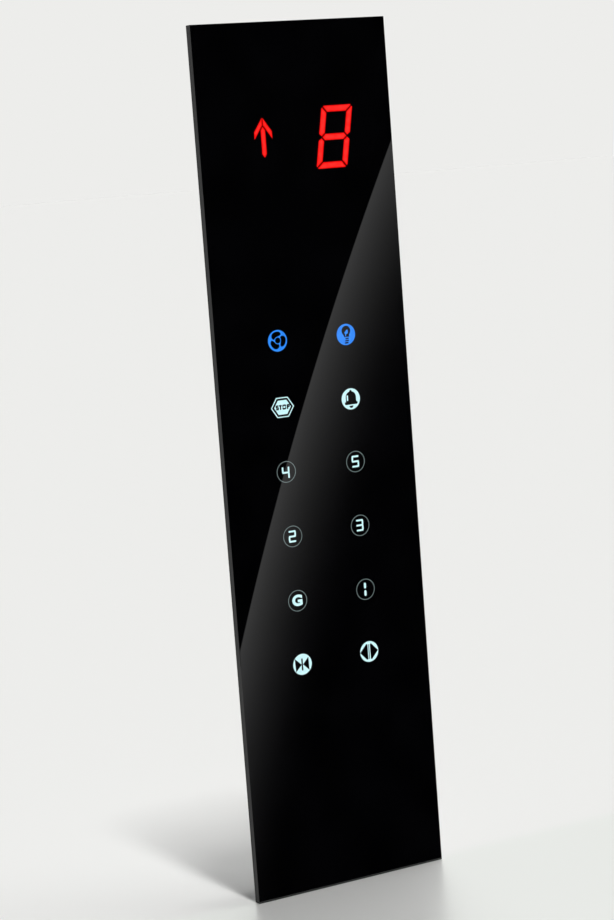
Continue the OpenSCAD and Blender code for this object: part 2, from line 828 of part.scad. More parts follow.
// Board that carries the two display modules.
module display_board() {
    color("#1d5a36") stand() translate([0, display_y, z_disp_back]) linear_extrude(board_t) difference() {
        round_rect(disp_board_w, disp_board_h, board_r);
        translate([0, -display_y]) at_display_studs() circle(d = stud_hole);
    }
}

// Round spacers between the carrier and the display board.
module display_spacers() {
    color("#d4d6d8") stand() at_display_studs() translate([0, 0, z_disp_front]) difference() {
        cylinder(d = stud_d + 3, h = z_carrier - z_disp_front);
        translate([0, 0, -1]) cylinder(d = stud_hole, h = z_carrier - z_disp_front + 2);
    }
}

// Driver chip on the display board's back.
module display_driver() {
    color("#222326") stand() hang(0, display_y + 8, z_disp_back) chip(chip_w, chip_w * 2 / 3);
}

// Nuts on the display studs and on the upper studs of the key board.
module board_nuts() {
    color("#c8ccd0") stand() {
        at_studs([0, 1]) translate([0, 0, z_key_back - nut_t]) hex_ring(nut_w, nut_t, stud_d + fit_gap);
        at_display_studs() translate([0, 0, z_disp_back - nut_t]) hex_ring(nut_w, nut_t, stud_d + fit_gap);
    }
}

// Hexagon spacers that hold the controller board off the key board.
module board_spacers() {
    color("#cdb765") stand() at_studs([2, 3]) translate([0, 0, z_ctrl_front])
        hex_ring(nut_w, spacer_h, stud_d + fit_gap);
}

// Controller board behind the lower half of the key board.
module controller_board() {
    color("#1d5a36") stand() translate([0, 0, z_ctrl_back]) linear_extrude(board_t) difference() {
        translate([0, ctrl_y]) round_rect(board_w, ctrl_h, board_r);
        at_studs([2, 3]) circle(d = stud_hole);
    }
}

// Pan head screws that hold the controller board to its spacers.
module controller_screws() {
    grip = board_t + screw_grip;
    color("#c8ccd0") stand() at_studs([2, 3]) translate([0, 0, z_ctrl_back]) {
        cylinder(d = stud_d, h = min(grip, board_t + spacer_h - stud_grip - 0.5));
        translate([0, 0, -screw_head_t]) difference() {
            cylinder(d1 = screw_head_d - 1.4, d2 = screw_head_d, h = screw_head_t);
            translate([-0.4, -screw_head_d, -1]) cube([0.8, 2 * screw_head_d, 1.9]);
        }
    }
}

// Processor on the controller board.
module processor_chip() {
    color("#222326") stand() on_controller(processor_x, processor_y) chip(chip_w, chip_w);
}

// Relays that switch the car's fan and light: a cap over a base with a lip, and a vent in the cap.
module relays() {
    color("#2f5f9e") stand() for (i = [0, 1])
        on_controller(relay_x + i * (relay_w + relay_gap), relay_y) difference() {
            union() {
                linear_extrude(relay_base_t)
                    round_rect(relay_w + 2 * relay_lip, relay_h + 2 * relay_lip, relay_r);
                translate([0, relay_h / 2, relay_t / 2]) rotate([90, 0, 0]) linear_extrude(relay_h)
                    round_rect(relay_w, relay_t, relay_r);
            }
            translate([relay_w / 2 - vent_edge, 0, relay_t - vent_t]) cylinder(d = vent_d, h = 1);
        }
}

// Sounder that confirms a touch.
module buzzer() {
    color("#191a1c") stand() on_controller(buzzer_x, buzzer_y) rotate_extrude() polygon([
        [0, 0], [buzzer_d / 2, 0], [buzzer_d / 2, buzzer_t - 0.6], [buzzer_d / 2 - 0.6, buzzer_t],
        [1.2, buzzer_t], [1.2, buzzer_t - 2], [0, buzzer_t - 2]
    ]);
}

// Electrolytic capacitors of the supply, each with a crimp groove and a scored top.
module capacitors() {
    r = cap_d / 2;
    outline = [
        [0, 0], [r, 0], [r, 1.6], [r - 0.5, 2.1], [r, 2.6], [r, cap_t - 0.5], [r - 0.5, cap_t], [0, cap_t]
    ];
    color("#3a3f6b") stand() for (i = [-1 : 1])
        on_controller(cap_x + i * (cap_d + cap_gap), supply_y) difference() {
            rotate_extrude() polygon(outline);
            for (a = [0, 90]) rotate(a) translate([-score_len / 2, -score_w / 2, cap_t - score_t])
                cube([score_len, score_w, 1]);
        }
}

// Choke of the supply: a drum core in a square shield, with a round gap between them.
module inductor() {
    color("#3b3c3f") stand() on_controller(choke_x, supply_y) difference() {
        linear_extrude(choke_t) round_rect(choke_w, choke_w, 2);
        translate([0, 0, choke_t - drum_gap_t]) rotate_extrude()
            translate([drum_d / 2, 0]) square([drum_gap, drum_gap_t + 1]);
    }
}

// Header that takes the pluggable terminals, open at the board's lower edge and notched at each way.
module terminal_header() {
    w = terminal_w + 2 * header_wall + 0.4;
    color("#2d7a45") stand() on_controller(0, -ctrl_h / 2) difference() {
        translate([-w / 2, 0, 0]) cube([w, header_h, header_t]);
        translate([-w / 2 + header_wall, -1, header_wall])
            cube([w - 2 * header_wall, plug_tongue + 1.3, header_t - 2 * header_wall]);
        for (i = [0 : terminal_ways - 1])
            translate([(i + 0.5) * way_pitch - (terminal_w + notch_w) / 2, -1, header_t - header_wall - 0.5])
                cube([notch_w, notch_len + 1, header_wall + 1]);
    }
}

// Plug with the screw terminals for the car's wiring, pushed into the header from below.
module terminal_plug() {
    tongue_t = header_t - 2 * header_wall - 0.4;
    color("#3a9455") stand() on_controller(0, -ctrl_h / 2) difference() {
        union() {
            translate([-terminal_w / 2, -0.1, header_wall + 0.2]) cube([terminal_w, plug_tongue, tongue_t]);
            translate([-terminal_w / 2, -plug_body_h, 0])
                cube([terminal_w, plug_body_h - 0.1, plug_body_t]);
        }
        for (i = [0 : terminal_ways - 1]) translate([(i + 0.5) * way_pitch - terminal_w / 2, 0, 0]) {
            translate([-entry_w / 2, -plug_body_h - 1, entry_up - entry_t / 2])
                cube([entry_w, entry_len + 1, entry_t]);
            translate([0, -plug_body_h / 2, plug_body_t - screw_well_t])
                cylinder(d = screw_well_d, h = screw_well_t + 1);
        }
        for (i = [1 : terminal_ways - 1]) translate([i * way_pitch - terminal_w / 2, 0, plug_body_t])
            cube([way_groove, 3 * plug_body_h, 2 * way_groove], center = true);
    }
}

// Slotted screws of the terminals.
module terminal_screws() {
    top = plug_body_t - screw_well_t;
    color("#cfd2d5") stand() on_controller(0, -ctrl_h / 2) for (i = [0 : terminal_ways - 1])
        translate([(i + 0.5) * way_pitch - terminal_w / 2, -plug_body_h / 2, top]) difference() {
            cylinder(d = 3.4, h = 2);
            translate([-2.5, -0.3, 1.2]) cube([5, 0.6, 2]);
        }
}

// Two-row header that joins the controller board to the key board, with its pins bare in the gap.
module board_link() {
    socket_from = link_base_t + link_gap;
    color("#1b1c1e") stand() translate([-link_w / 2, ctrl_y + ctrl_h / 2 - 14, z_ctrl_front]) {
        cube([link_w, link_h, link_base_t]);
        translate([0, 0, socket_from]) cube([link_w, link_h, spacer_h - socket_from]);
        for (i = [0 : link_pins - 1], s = [-1, 1])
            translate([(i + 0.5) * link_pitch - link_pin / 2, (link_h + s * link_pitch - link_pin) / 2, 1])
                cube([link_pin, link_pin, socket_from]);
    }
}

// Ribbon sockets on the backs of the two upper boards, with a clamp over the ribbon and a polarising tab.
module ribbon_sockets() {
    slot_w = ribbon_w + 2 * fit_gap;
    color("#1b1c1e") stand() for (at = [[ribbon_top, z_disp_back, 1], [ribbon_low, z_key_back, -1]])
        hang(0, at[0], at[1]) {
            difference() {
                translate([-socket_w / 2, -socket_h / 2, 0])
                    cube([socket_w, socket_h, socket_t + ribbon_t + clamp_t]);
                translate([-slot_w / 2, -socket_h, socket_t]) cube([slot_w, 2 * socket_h, ribbon_t]);
            }
            translate([0, at[2] * socket_h / 2, polar_len / 2])
                cube([polar_w, 2 * polar_t, polar_len], center = true);
        }
}

// Flat ribbon that runs down from the display board's socket to the key board's socket.
module ribbon_lead() {
    steps = 16;
    y0 = ribbon_top - socket_h / 2;
    y1 = ribbon_low + socket_h / 2;
    z0 = z_disp_back - socket_t - ribbon_t;
    z1 = z_key_back - socket_t - ribbon_t;
    curve = [for (i = [0 : steps]) let (t = i / steps)
        [y0 + (y1 - y0) * t, z0 + (z1 - z0) * t * t * (3 - 2 * t)]];
    under = concat([[y0 + socket_h, z0]], curve, [[y1 - socket_h, z1]]);
    last = len(under) - 1;
    over = [for (i = [0 : last]) [under[last - i][0], under[last - i][1] + ribbon_t]];
    color("#8b8f94") stand() translate([-ribbon_w / 2, 0, 0]) rotate([90, 0, 90])
        linear_extrude(ribbon_w) polygon(concat(under, over));
}

// Hinge halves riveted to the carrier's back: leaf with the two knuckles between the box's three.
module hinge_carrier_leaves() {
    reach = knuckle_r + hinge_gap;
    color("#a9adb1") stand() at_hinges() difference() {
        union() {
            translate([reach, -reach, -hinge_len / 2]) cube([leaf_w - reach, leaf_t, hinge_len]);
            for (i = [1 : 2 : knuckles - 1]) translate([0, 0, knuckle_start(i)]) {
                translate([0, -reach, 0]) cube([leaf_w, leaf_t, knuckle_len]);
                cylinder(r = knuckle_r, h = knuckle_len);
            }
        }
        translate([0, 0, -hinge_len]) cylinder(r = pin_d / 2 + pin_clear, h = 2 * hinge_len);
        for (i = [-1 : 1]) translate([rivet_at, 1, i * rivet_pitch]) rotate([90, 0, 0])
            cylinder(d = rivet_d + 2 * fit_gap, h = reach + 2);
    }
}

// Rivets through the hinge leaves and the carrier, flush at the carrier's front.
module hinge_carrier_rivets() {
    reach = knuckle_r + hinge_gap;
    color("#c3c7cb") stand() at_hinges() for (i = [-1 : 1])
        translate([rivet_at, leaf_t - reach, i * rivet_pitch]) rotate([90, 0, 0])
            rivet(leaf_t + carrier_t, false);
}

// Places its children at the keeper's rivets, with z out of the wall from the carrier's back.
module at_keeper_rivets() {
    for (s = [-1, 1])
        translate([keeper_web_x - cam_t - (keeper_base_w - cam_t) / 2, keeper_y + s * 4, z_carrier - cam_t])
            children();
}

// Bracket on the carrier whose tab the lock's cam turns in front of.
module lock_keeper() {
    tab_z = lock_z - cam_w / 2 - keeper_gap - cam_t;
    tab_end = lock_x - cam_hub_d / 2 - 1;
    left = keeper_web_x - cam_t;
    color("#a3a7ab") stand() difference() {
        translate([0, keeper_y + keeper_h / 2, 0]) rotate([90, 0, 0]) linear_extrude(keeper_h) difference() {
            polygon([
                [keeper_web_x - keeper_base_w, z_carrier], [keeper_web_x - keeper_base_w, z_carrier - cam_t],
                [left, z_carrier - cam_t], [left, tab_z], [tab_end, tab_z], [tab_end, tab_z + cam_t],
                [keeper_web_x, tab_z + cam_t], [keeper_web_x, z_carrier]
            ]);
            translate([left, tab_z]) corner_cut(keeper_bend_r);
            translate([keeper_web_x, z_carrier]) rotate(180) corner_cut(keeper_bend_r);
        }
        at_keeper_rivets() translate([0, 0, -1]) cylinder(d = rivet_d + 2 * fit_gap, h = cam_t + 2);
    }
}

// Rivets that hold the keeper, flush at the carrier's front.
module keeper_rivets() {
    color("#c3c7cb") stand() at_keeper_rivets() rivet(cam_t + carrier_t, false);
}

// Case of the reset switch on the controller board's back, with four posts that hold its cover plate.
module reset_switch() {
    post_at = switch_w / 2 - switch_post_edge;
    color("#1b1c1e") stand() on_controller(reset_x, reset_y) difference() {
        union() {
            linear_extrude(switch_t) round_rect(switch_w, switch_w, 0.6);
            for (sx = [-1, 1], sy = [-1, 1]) translate([sx * post_at, sy * post_at, switch_t])
                cylinder(d = switch_post_d, h = switch_post_t);
        }
        translate([0, 0, switch_t - switch_well])
            cylinder(r = reset_d / 2 + reset_clear, h = switch_well + 1);
    }
}

// Plug that the triangular key turns, with a square tenon for the cam.
module lock_plug() {
    color("#d3d6d9") stand() at_lock() difference() {
        union() {
            translate([0, 0, -lock_flange_t]) cylinder(d = plug_head_d, h = lock_flange_t - plug_play);
            translate([0, 0, -lock_flange_t]) cylinder(d = plug_d, h = lock_flange_t + cam_at);
            translate([-tenon_w / 2, -tenon_w / 2, cam_at - 1]) cube([tenon_w, tenon_w, cam_t + 0.8]);
        }
        translate([0, 0, -lock_flange_t - 1]) difference() {
            cylinder(d = key_recess_d, h = key_recess_t + 1);
            cylinder(d = key_stud_d, h = key_recess_t + 2, $fn = 3);
        }
        translate([0, 0, cam_at + cam_t - cam_screw_grip - 1])
            cylinder(d = cam_screw_d + fit_gap, h = cam_screw_grip + 2);
    }
}

// Cam that turns from the free position, pointing at the glass, to behind-the-keeper lock.
module lock_cam() {
    arm_len = cam_reach - cam_w / 2;
    color("#b9bdc0") stand() at_lock() translate([0, 0, cam_at]) linear_extrude(cam_t) difference() {
        union() {
            circle(d = cam_hub_d);
            translate([-cam_w / 2, -arm_len]) square([cam_w, arm_len]);
            translate([0, -arm_len]) circle(d = cam_w);
        }
        square(tenon_w, center = true);
    }
}

// Screw that holds the cam on the plug.
module cam_screw() {
    color("#c8ccd0") stand() at_lock() translate([0, 0, cam_at + cam_t]) {
        translate([0, 0, -cam_screw_grip]) cylinder(d = cam_screw_d, h = cam_screw_grip);
        difference() {
            cylinder(d1 = cam_head_d, d2 = cam_head_d - 1.6, h = cam_head_t);
            translate([0, 0, cam_head_t - 1.2]) cylinder(d = 3.4, h = 2, $fn = 6);
        }
    }
}

// Button of the reset switch, pressed towards the board.
module reset_button() {
    stroke = reset_travel + 0.1;
    bottom = switch_t - switch_well + stroke;
    color("#d9d9d6") stand() on_controller(reset_x, reset_y)
        translate([0, 0, bottom]) cylinder(d = reset_d, h = switch_t + reset_out - bottom);
}

box_back();
box_side_rails();
box_end_rails();
dust_seal();
cable_bush();
earth_stud();
earth_nut();
hinge_box_leaves();
hinge_pins();
hinge_box_rivets();
lock_barrel();
lock_nut();
front_glass();
bonding_tape();
carrier_plate();
carrier_studs();
sensor_foil();
light_frame();
mark_lenses();
key_board();
key_leds();
touch_chips();
digit_display();
digit_bars();
arrow_display();
arrow_bars();
display_board();
display_spacers();
display_driver();
board_nuts();
board_spacers();
controller_board();
controller_screws();
processor_chip();
relays();
buzzer();
capacitors();
inductor();
terminal_header();
terminal_plug();
terminal_screws();
board_link();
ribbon_sockets();
ribbon_lead();
hinge_carrier_leaves();
hinge_carrier_rivets();
lock_keeper();
keeper_rivets();
reset_switch();
lock_plug();
lock_cam();
cam_screw();
reset_button();
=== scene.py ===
# %% [markdown]
# # A glass touch panel for an elevator car
# The part is a black glass front with lit touch marks, glued to a steel carrier. The carrier swings
# on two hinges in front of a shallow wall box, and circuit boards hang on its back.
# The exact solids come from CAD as a fixed frame. This lesson gives them their finishes, adds the lit
# marks and the small parts that are too fine for the solids, and sets up a plain studio.

# %% Load the CAD frame
import json
import math

import bmesh
import bpy
from mathutils import Matrix, Vector


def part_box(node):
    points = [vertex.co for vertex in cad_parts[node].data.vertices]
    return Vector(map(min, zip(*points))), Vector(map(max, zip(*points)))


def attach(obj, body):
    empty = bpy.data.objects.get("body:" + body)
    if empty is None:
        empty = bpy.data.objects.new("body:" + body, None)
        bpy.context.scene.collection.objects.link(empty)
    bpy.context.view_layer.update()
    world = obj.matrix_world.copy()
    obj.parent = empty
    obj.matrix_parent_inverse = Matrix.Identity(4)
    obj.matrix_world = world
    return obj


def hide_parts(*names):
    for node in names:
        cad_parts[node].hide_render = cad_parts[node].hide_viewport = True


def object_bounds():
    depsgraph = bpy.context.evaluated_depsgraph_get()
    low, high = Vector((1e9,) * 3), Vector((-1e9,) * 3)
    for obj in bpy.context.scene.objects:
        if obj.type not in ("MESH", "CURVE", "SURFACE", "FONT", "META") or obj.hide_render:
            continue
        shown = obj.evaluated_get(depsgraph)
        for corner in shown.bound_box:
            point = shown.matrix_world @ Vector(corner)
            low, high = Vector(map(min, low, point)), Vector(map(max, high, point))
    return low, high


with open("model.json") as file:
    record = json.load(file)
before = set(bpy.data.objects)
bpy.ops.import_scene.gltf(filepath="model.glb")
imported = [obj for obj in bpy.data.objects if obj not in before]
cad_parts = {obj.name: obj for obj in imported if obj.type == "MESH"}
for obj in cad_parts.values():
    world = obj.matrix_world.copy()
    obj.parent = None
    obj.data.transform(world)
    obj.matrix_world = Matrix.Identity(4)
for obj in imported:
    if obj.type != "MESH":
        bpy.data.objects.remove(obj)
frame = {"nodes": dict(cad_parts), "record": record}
cad_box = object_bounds()
nodes = frame["nodes"]
MM = 0.001
print(len(nodes), "CAD nodes, box", [[round(v, 4) for v in corner] for corner in cad_box])

# %% [markdown]
# ## Small helpers
# Colours are written as sRGB hex codes, the way a paint chart gives them, and turned to the linear
# values that Blender's shaders expect. One function adds a shader node with its settings and links,
# so that a material reads as a short list of steps.

# %% Colour and node helpers
def linear(code):
    """The linear colour of an sRGB hex code, fully opaque."""
    parts = [int(code[i:i + 2], 16) / 255 for i in (1, 3, 5)]
    return [p / 12.92 if p <= 0.04045 else ((p + 0.055) / 1.055) ** 2.4 for p in parts] + [1.0]


def add(tree, kind, settings, inputs):
    """A new shader node with its settings, and its inputs set to values or linked to sockets."""
    node = tree.nodes.new(kind)
    for name, value in settings.items():
        setattr(node, name, value)
    for name, value in inputs.items():
        if isinstance(value, bpy.types.NodeSocket):
            tree.links.new(value, node.inputs[name])
        else:
            node.inputs[name].default_value = value
    return node


def start(name, **inputs):
    """A new material with one Principled shader, with its tree, that shader and object coordinates."""
    made = bpy.data.materials.new(name)
    made.use_nodes = True
    tree = made.node_tree
    shader = tree.nodes["Principled BSDF"]
    for key, value in inputs.items():
        shader.inputs[key.replace("_", " ")].default_value = value
    where = add(tree, "ShaderNodeTexCoord", {}, {}).outputs["Object"]
    return made, tree, shader, where


print("middle grey is", [round(v, 3) for v in linear("#808080")])

# %% [markdown]
# ## Patterns at their real size
# Most finishes here put one pattern to three uses: it tints the colour, it varies the gloss and it raises
# the surface a little. The sizes are real lengths in metres. A noise or cell texture takes one over that
# length as its scale, and a wave texture needs a factor of its own.

# %% Pattern helpers
def shades(tree, factor, dark, light, low=0.35, high=0.65):
    """Two hex colours blended by a factor, from dark at low to light at high."""
    ramp = add(tree, "ShaderNodeValToRGB", {}, {"Fac": factor})
    ends = ramp.color_ramp.elements
    ends[0].position, ends[0].color = low, linear(dark)
    ends[1].position, ends[1].color = high, linear(light)
    return ramp.outputs["Color"]


def spread(tree, factor, low, high, begin=0.0, end=1.0):
    """A factor that runs from begin to end, spread from low to high."""
    ends = {"Value": factor, "From Min": begin, "From Max": end, "To Min": low, "To Max": high}
    return add(tree, "ShaderNodeMapRange", {}, ends).outputs["Result"]


def relief(tree, shader, height, depth):
    """Bump on a shader from a height pattern whose full range stands for a depth in metres."""
    bump = add(tree, "ShaderNodeBump", {}, {"Strength": 1.0, "Distance": depth, "Height": height})
    tree.links.new(bump.outputs["Normal"], shader.inputs["Normal"])


def ripple(length):
    """The scale of a Wave texture whose bands are a given length apart, in metres."""
    return 2 * math.pi / 20 / length


print("bands 2 mm apart have the scale", round(ripple(2 * MM), 1))

# %% [markdown]
# ## The camera
# The photograph was taken with a long lens, from the panel's left and a little above, and the camera
# was rolled a few degrees. A camera can be placed by eye, but the panel's four corners give it exactly,
# so it is set by azimuth, elevation, roll and distance from the point that it looks at.

# %% Camera
AIM = Vector((-8.6, -33.0, 1.3)) * MM
DISTANCE = 1.6624
AZIMUTH, ELEVATION, ROLL = (math.radians(angle) for angle in (29.06, 7.40, -4.30))
SENSOR_HEIGHT, FOCAL_LENGTH = 36.0, 94.35

level = Vector((math.sin(AZIMUTH), math.cos(AZIMUTH), 0.0))
ahead = level * math.cos(ELEVATION) - Vector((0, 0, math.sin(ELEVATION)))
lens = bpy.data.cameras.new("camera")
lens.sensor_fit = "VERTICAL"
lens.sensor_height = SENSOR_HEIGHT
lens.lens = FOCAL_LENGTH
camera = bpy.data.objects.new("camera", lens)
bpy.context.scene.collection.objects.link(camera)
turn = ahead.to_track_quat("-Z", "Y").to_matrix() @ Matrix.Rotation(ROLL, 3, "Z")
camera.matrix_world = Matrix.Translation(AIM - ahead * DISTANCE) @ turn.to_4x4()
bpy.context.scene.camera = camera
bpy.context.scene.view_settings.view_transform = "Standard"
print("camera at", [round(v, 3) for v in camera.matrix_world.translation])

# %% [markdown]
# ## The sky
# The photograph has one pale tone from top to bottom and the floor melts into it. A curved backdrop
# could do that, but an even sky and a floor of the same tone need no fold: where nothing shades the
# floor, the two come out alike. The camera, mirrors and clear things see that tone, while only a small
# share of the light on the object comes from it.

# %% Sky
PALE = "#ededeb"
SKY_SHARE = 0.08

sky = bpy.data.worlds.new("studio_sky")
sky.use_nodes = True
bpy.context.scene.world = sky
tree = sky.node_tree
path = add(tree, "ShaderNodeLightPath", {}, {}).outputs
seen = path["Is Camera Ray"]
for ray in ("Is Glossy Ray", "Is Transmission Ray"):
    seen = add(tree, "ShaderNodeMath", {"operation": "MAXIMUM"}, {0: seen, 1: path[ray]}).outputs[0]
ambient = add(tree, "ShaderNodeBackground", {}, {"Color": (1, 1, 1, 1), "Strength": SKY_SHARE}).outputs[0]
backdrop = add(tree, "ShaderNodeBackground", {}, {"Color": linear(PALE), "Strength": 1.0}).outputs[0]
mix = add(tree, "ShaderNodeMixShader", {}, {0: seen, 1: ambient, 2: backdrop})
tree.links.new(mix.outputs[0], tree.nodes["World Output"].inputs["Surface"])
print("the sky gives", SKY_SHARE, "of the light")

# %% [markdown]
# ## Two lights
# One shadow falls straight back. It is crisp at its side but long and soft behind, as from a tall narrow
# strip light in front, so a row of small suns stands for the strip. A second, very soft shadow lies to
# the left and in front of the foot, as from a wide light high on the right and a little behind. All
# shares add up to one, so an unshaded floor shows its own colour.

# %% Strip light and soft light
STRIP = [82, 80, 78, 75.5, 73, 70, 67]
STRIP_SIZE = math.radians(3)
SOFT_SHARE = 0.44
SOFT_RISE, SOFT_TURN, SOFT_SIZE = (math.radians(angle) for angle in (50, -70, 70))


def sun_light(name, share, rise, turn, size):
    """A sun at a height and a turn from straight behind, that gives a level floor a share of its light."""
    sun = bpy.data.lights.new(name, "SUN")
    sun.angle = size
    sun.energy = share * math.pi / math.sin(rise)
    lamp = bpy.data.objects.new(name, sun)
    lamp.matrix_world = Matrix.Rotation(turn, 4, "Z") @ Matrix.Rotation(rise - math.pi / 2, 4, "X")
    bpy.context.scene.collection.objects.link(lamp)
    return lamp


for height in STRIP:
    share = (1 - SKY_SHARE - SOFT_SHARE) / len(STRIP)
    sun_light(f"strip_{height}", share, math.radians(height), math.pi, STRIP_SIZE)
soft = sun_light("soft_back_light", SOFT_SHARE, SOFT_RISE, SOFT_TURN, SOFT_SIZE)
soft.visible_glossy = False
print(len(STRIP), "suns between", STRIP[-1], "and", STRIP[0], "degrees")
print("soft light from", [round(v, 2) for v in soft.matrix_world.col[2][:3]])

# %% [markdown]
# ## The floor
# The floor in front of the panel is polished and shows a blurred, darker image of the glass, while the
# shadow behind it is matt and deep. One plane does both: its paint turns from matt to satin under the
# panel's foot, where the change can't be seen. A varnish mirrors most at a low angle and hardly at all
# from above, so the mirror's share also grows as the floor turns away from the eye.

# %% Floor
FLOOR_Z = cad_box[0][2]
FLOOR_REACH = 30.0
FLOOR_GRAIN = 50 / 3 * MM
MATT_TO, SATIN_FROM = -20 * MM, -38 * MM
SHEEN = 0.90
BLUR_LOW, BLUR_HIGH = 0.30, 0.36
VARNISH = "#e9eeea"


def floor_paint():
    """Pale floor paint under a varnish: matt behind the panel, and a blurred mirror in front of it."""
    made, tree, shader, where = start("satin_floor_paint", Base_Color=linear(PALE), Roughness=1.0)
    shader.inputs["Specular IOR Level"].default_value = 0.0
    depth = add(tree, "ShaderNodeSeparateXYZ", {}, {"Vector": where}).outputs["Y"]
    grain = add(tree, "ShaderNodeTexNoise", {}, {"Vector": where, "Scale": 1 / FLOOR_GRAIN, "Detail": 2.0})
    blur = spread(tree, grain.outputs["Fac"], BLUR_LOW, BLUR_HIGH)
    mirror = add(tree, "ShaderNodeBsdfGlossy", {}, {"Color": linear(VARNISH), "Roughness": blur})
    satin = spread(tree, depth, 0.0, SHEEN, MATT_TO, SATIN_FROM)
    low = add(tree, "ShaderNodeLayerWeight", {}, {"Blend": 0.5}).outputs["Facing"]
    low = add(tree, "ShaderNodeMath", {"operation": "POWER"}, {0: low, 1: 2.0}).outputs[0]
    share = add(tree, "ShaderNodeMath", {"operation": "MULTIPLY"}, {0: satin, 1: low}).outputs[0]
    mix = add(tree, "ShaderNodeMixShader", {}, {0: share, 1: shader.outputs[0], 2: mirror.outputs[0]})
    tree.links.new(mix.outputs[0], tree.nodes["Material Output"].inputs["Surface"])
    return made


def stage_piece(name, mesh, finish):
    """Makes a bmesh a stage object, which isn't part of the panel."""
    shape = bpy.data.meshes.new(name)
    mesh.to_mesh(shape)
    mesh.free()
    shape.materials.append(finish)
    made = bpy.data.objects.new(name, shape)
    bpy.context.scene.collection.objects.link(made)
    return made


mesh = bmesh.new()
ground = Matrix.Translation((0, 0, FLOOR_Z))
bmesh.ops.create_grid(mesh, x_segments=1, y_segments=1, size=FLOOR_REACH, matrix=ground)
stage_piece("floor", mesh, floor_paint())
print("floor at", round(FLOOR_Z, 3))

# %% [markdown]
# ## The card in front of the glass
# Black glass shows little but reflections. In the photograph it mirrors dark surroundings and one bright
# band, which starts at a crisp, slightly bowed edge that slants over the panel and fades to the right.
# A studio would get that from a card beside the camera. Here the card hangs close to the glass and only
# the glass's sharp mirror rays see it, so it neither lights nor shades anything else. Its glow is a ramp
# that starts at the slanting edge.

# %% Reflection card
CARD_GAP = 4 * MM
CARD_MARGIN = 6 * MM
CARD_EDGE, CARD_SLOPE, CARD_BOW = -25.45 * MM, 0.4163, 0.2727
CARD_BLUR = 0.4 * MM
CARD_FADE, FADE_GROWTH, FADE_POWER = 109 * MM, 0.08, 4.0
CARD_GLOW = 0.89


def graded_card():
    """A card that glows right of a bowed slanting edge and shows only to sharp mirror rays."""
    made, tree, shader, where = start("graded_card")
    part = add(tree, "ShaderNodeSeparateXYZ", {}, {"Vector": where}).outputs
    rise = {"operation": "MULTIPLY_ADD"}
    slope = add(tree, "ShaderNodeMath", rise, {0: part["Z"], 1: CARD_BOW, 2: CARD_SLOPE}).outputs[0]
    edge = add(tree, "ShaderNodeMath", rise, {0: part["Z"], 1: slope, 2: CARD_EDGE}).outputs[0]
    fade = add(tree, "ShaderNodeMath", rise, {0: part["Z"], 1: FADE_GROWTH, 2: CARD_FADE}).outputs[0]
    across = add(tree, "ShaderNodeMath", {"operation": "SUBTRACT"}, {0: part["X"], 1: edge}).outputs[0]
    fall = spread(tree, across, 1.0, 0.0, 0.0, fade)
    fall = add(tree, "ShaderNodeMath", {"operation": "POWER"}, {0: fall, 1: FADE_POWER}).outputs[0]
    crisp = spread(tree, across, 0.0, CARD_GLOW, -CARD_BLUR, CARD_BLUR)
    glow = add(tree, "ShaderNodeMath", {"operation": "MULTIPLY"}, {0: fall, 1: crisp}).outputs[0]
    lit = add(tree, "ShaderNodeEmission", {}, {"Color": (1, 1, 1, 1), "Strength": glow}).outputs[0]
    clear = add(tree, "ShaderNodeBsdfTransparent", {}, {}).outputs[0]
    sharp = add(tree, "ShaderNodeLightPath", {}, {}).outputs["Is Singular Ray"]
    outer = add(tree, "ShaderNodeNewGeometry", {}, {}).outputs["Backfacing"]
    inner = {"operation": "SUBTRACT", "use_clamp": True}
    shown = add(tree, "ShaderNodeMath", inner, {0: sharp, 1: outer}).outputs[0]
    mix = add(tree, "ShaderNodeMixShader", {}, {0: shown, 1: clear, 2: lit})
    tree.links.new(mix.outputs[0], tree.nodes["Material Output"].inputs["Surface"])
    return made


low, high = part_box("front_glass")
middle = (low + high) / 2
reach = (high - low) / 2 + Vector((CARD_MARGIN, 0, CARD_MARGIN))
upright = Matrix.Rotation(-math.pi / 2, 4, "X")
place = Matrix.Translation((middle.x, low.y - CARD_GAP, middle.z)) @ upright
mesh = bmesh.new()
bmesh.ops.create_grid(mesh, x_segments=1, y_segments=1, size=1.0)
bmesh.ops.scale(mesh, verts=mesh.verts[:], vec=(reach.x, reach.z, 1.0))
bmesh.ops.transform(mesh, verts=mesh.verts[:], matrix=place)
card = stage_piece("reflection_card", mesh, graded_card())
card.visible_camera = False
card.visible_diffuse = False
card.visible_shadow = False
print("card faces", [round(v, 2) for v in card.data.polygons[0].normal])

# %% [markdown]
# ## Building a piece
# Each new piece is a bmesh that gets its place in its own vertices, so that its object can sit at the
# origin like the CAD nodes do. It rides on the CAD body that carries it, and takes the finishes that it
# is given.

# %% Piece helpers
def piece(name, mesh, body, finishes, stands_for=()):
    """Makes a bmesh a named object that rides on a CAD body and takes the finishes it is given."""
    bmesh.ops.recalc_face_normals(mesh, faces=mesh.faces[:])
    shape = bpy.data.meshes.new(name)
    mesh.to_mesh(shape)
    mesh.free()
    for finish in finishes:
        shape.materials.append(finish)
    made = bpy.data.objects.new(name, shape)
    bpy.context.scene.collection.objects.link(made)
    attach(made, body)
    if stands_for:
        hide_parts(*stands_for)
    print(name, "has", len(shape.polygons), "faces")
    return made


def soften(mesh, geom, by, segments, affect="EDGES"):
    """Rounds edges, or corners of a flat face, by a length in metres."""
    bmesh.ops.bevel(mesh, geom=geom, offset=by, offset_type="OFFSET", segments=segments, profile=0.5,
                    affect=affect, material=-1)


def whole(mesh):
    """All that a mesh is made of, as the cutting and spinning operators want it."""
    return mesh.verts[:] + mesh.edges[:] + mesh.faces[:]


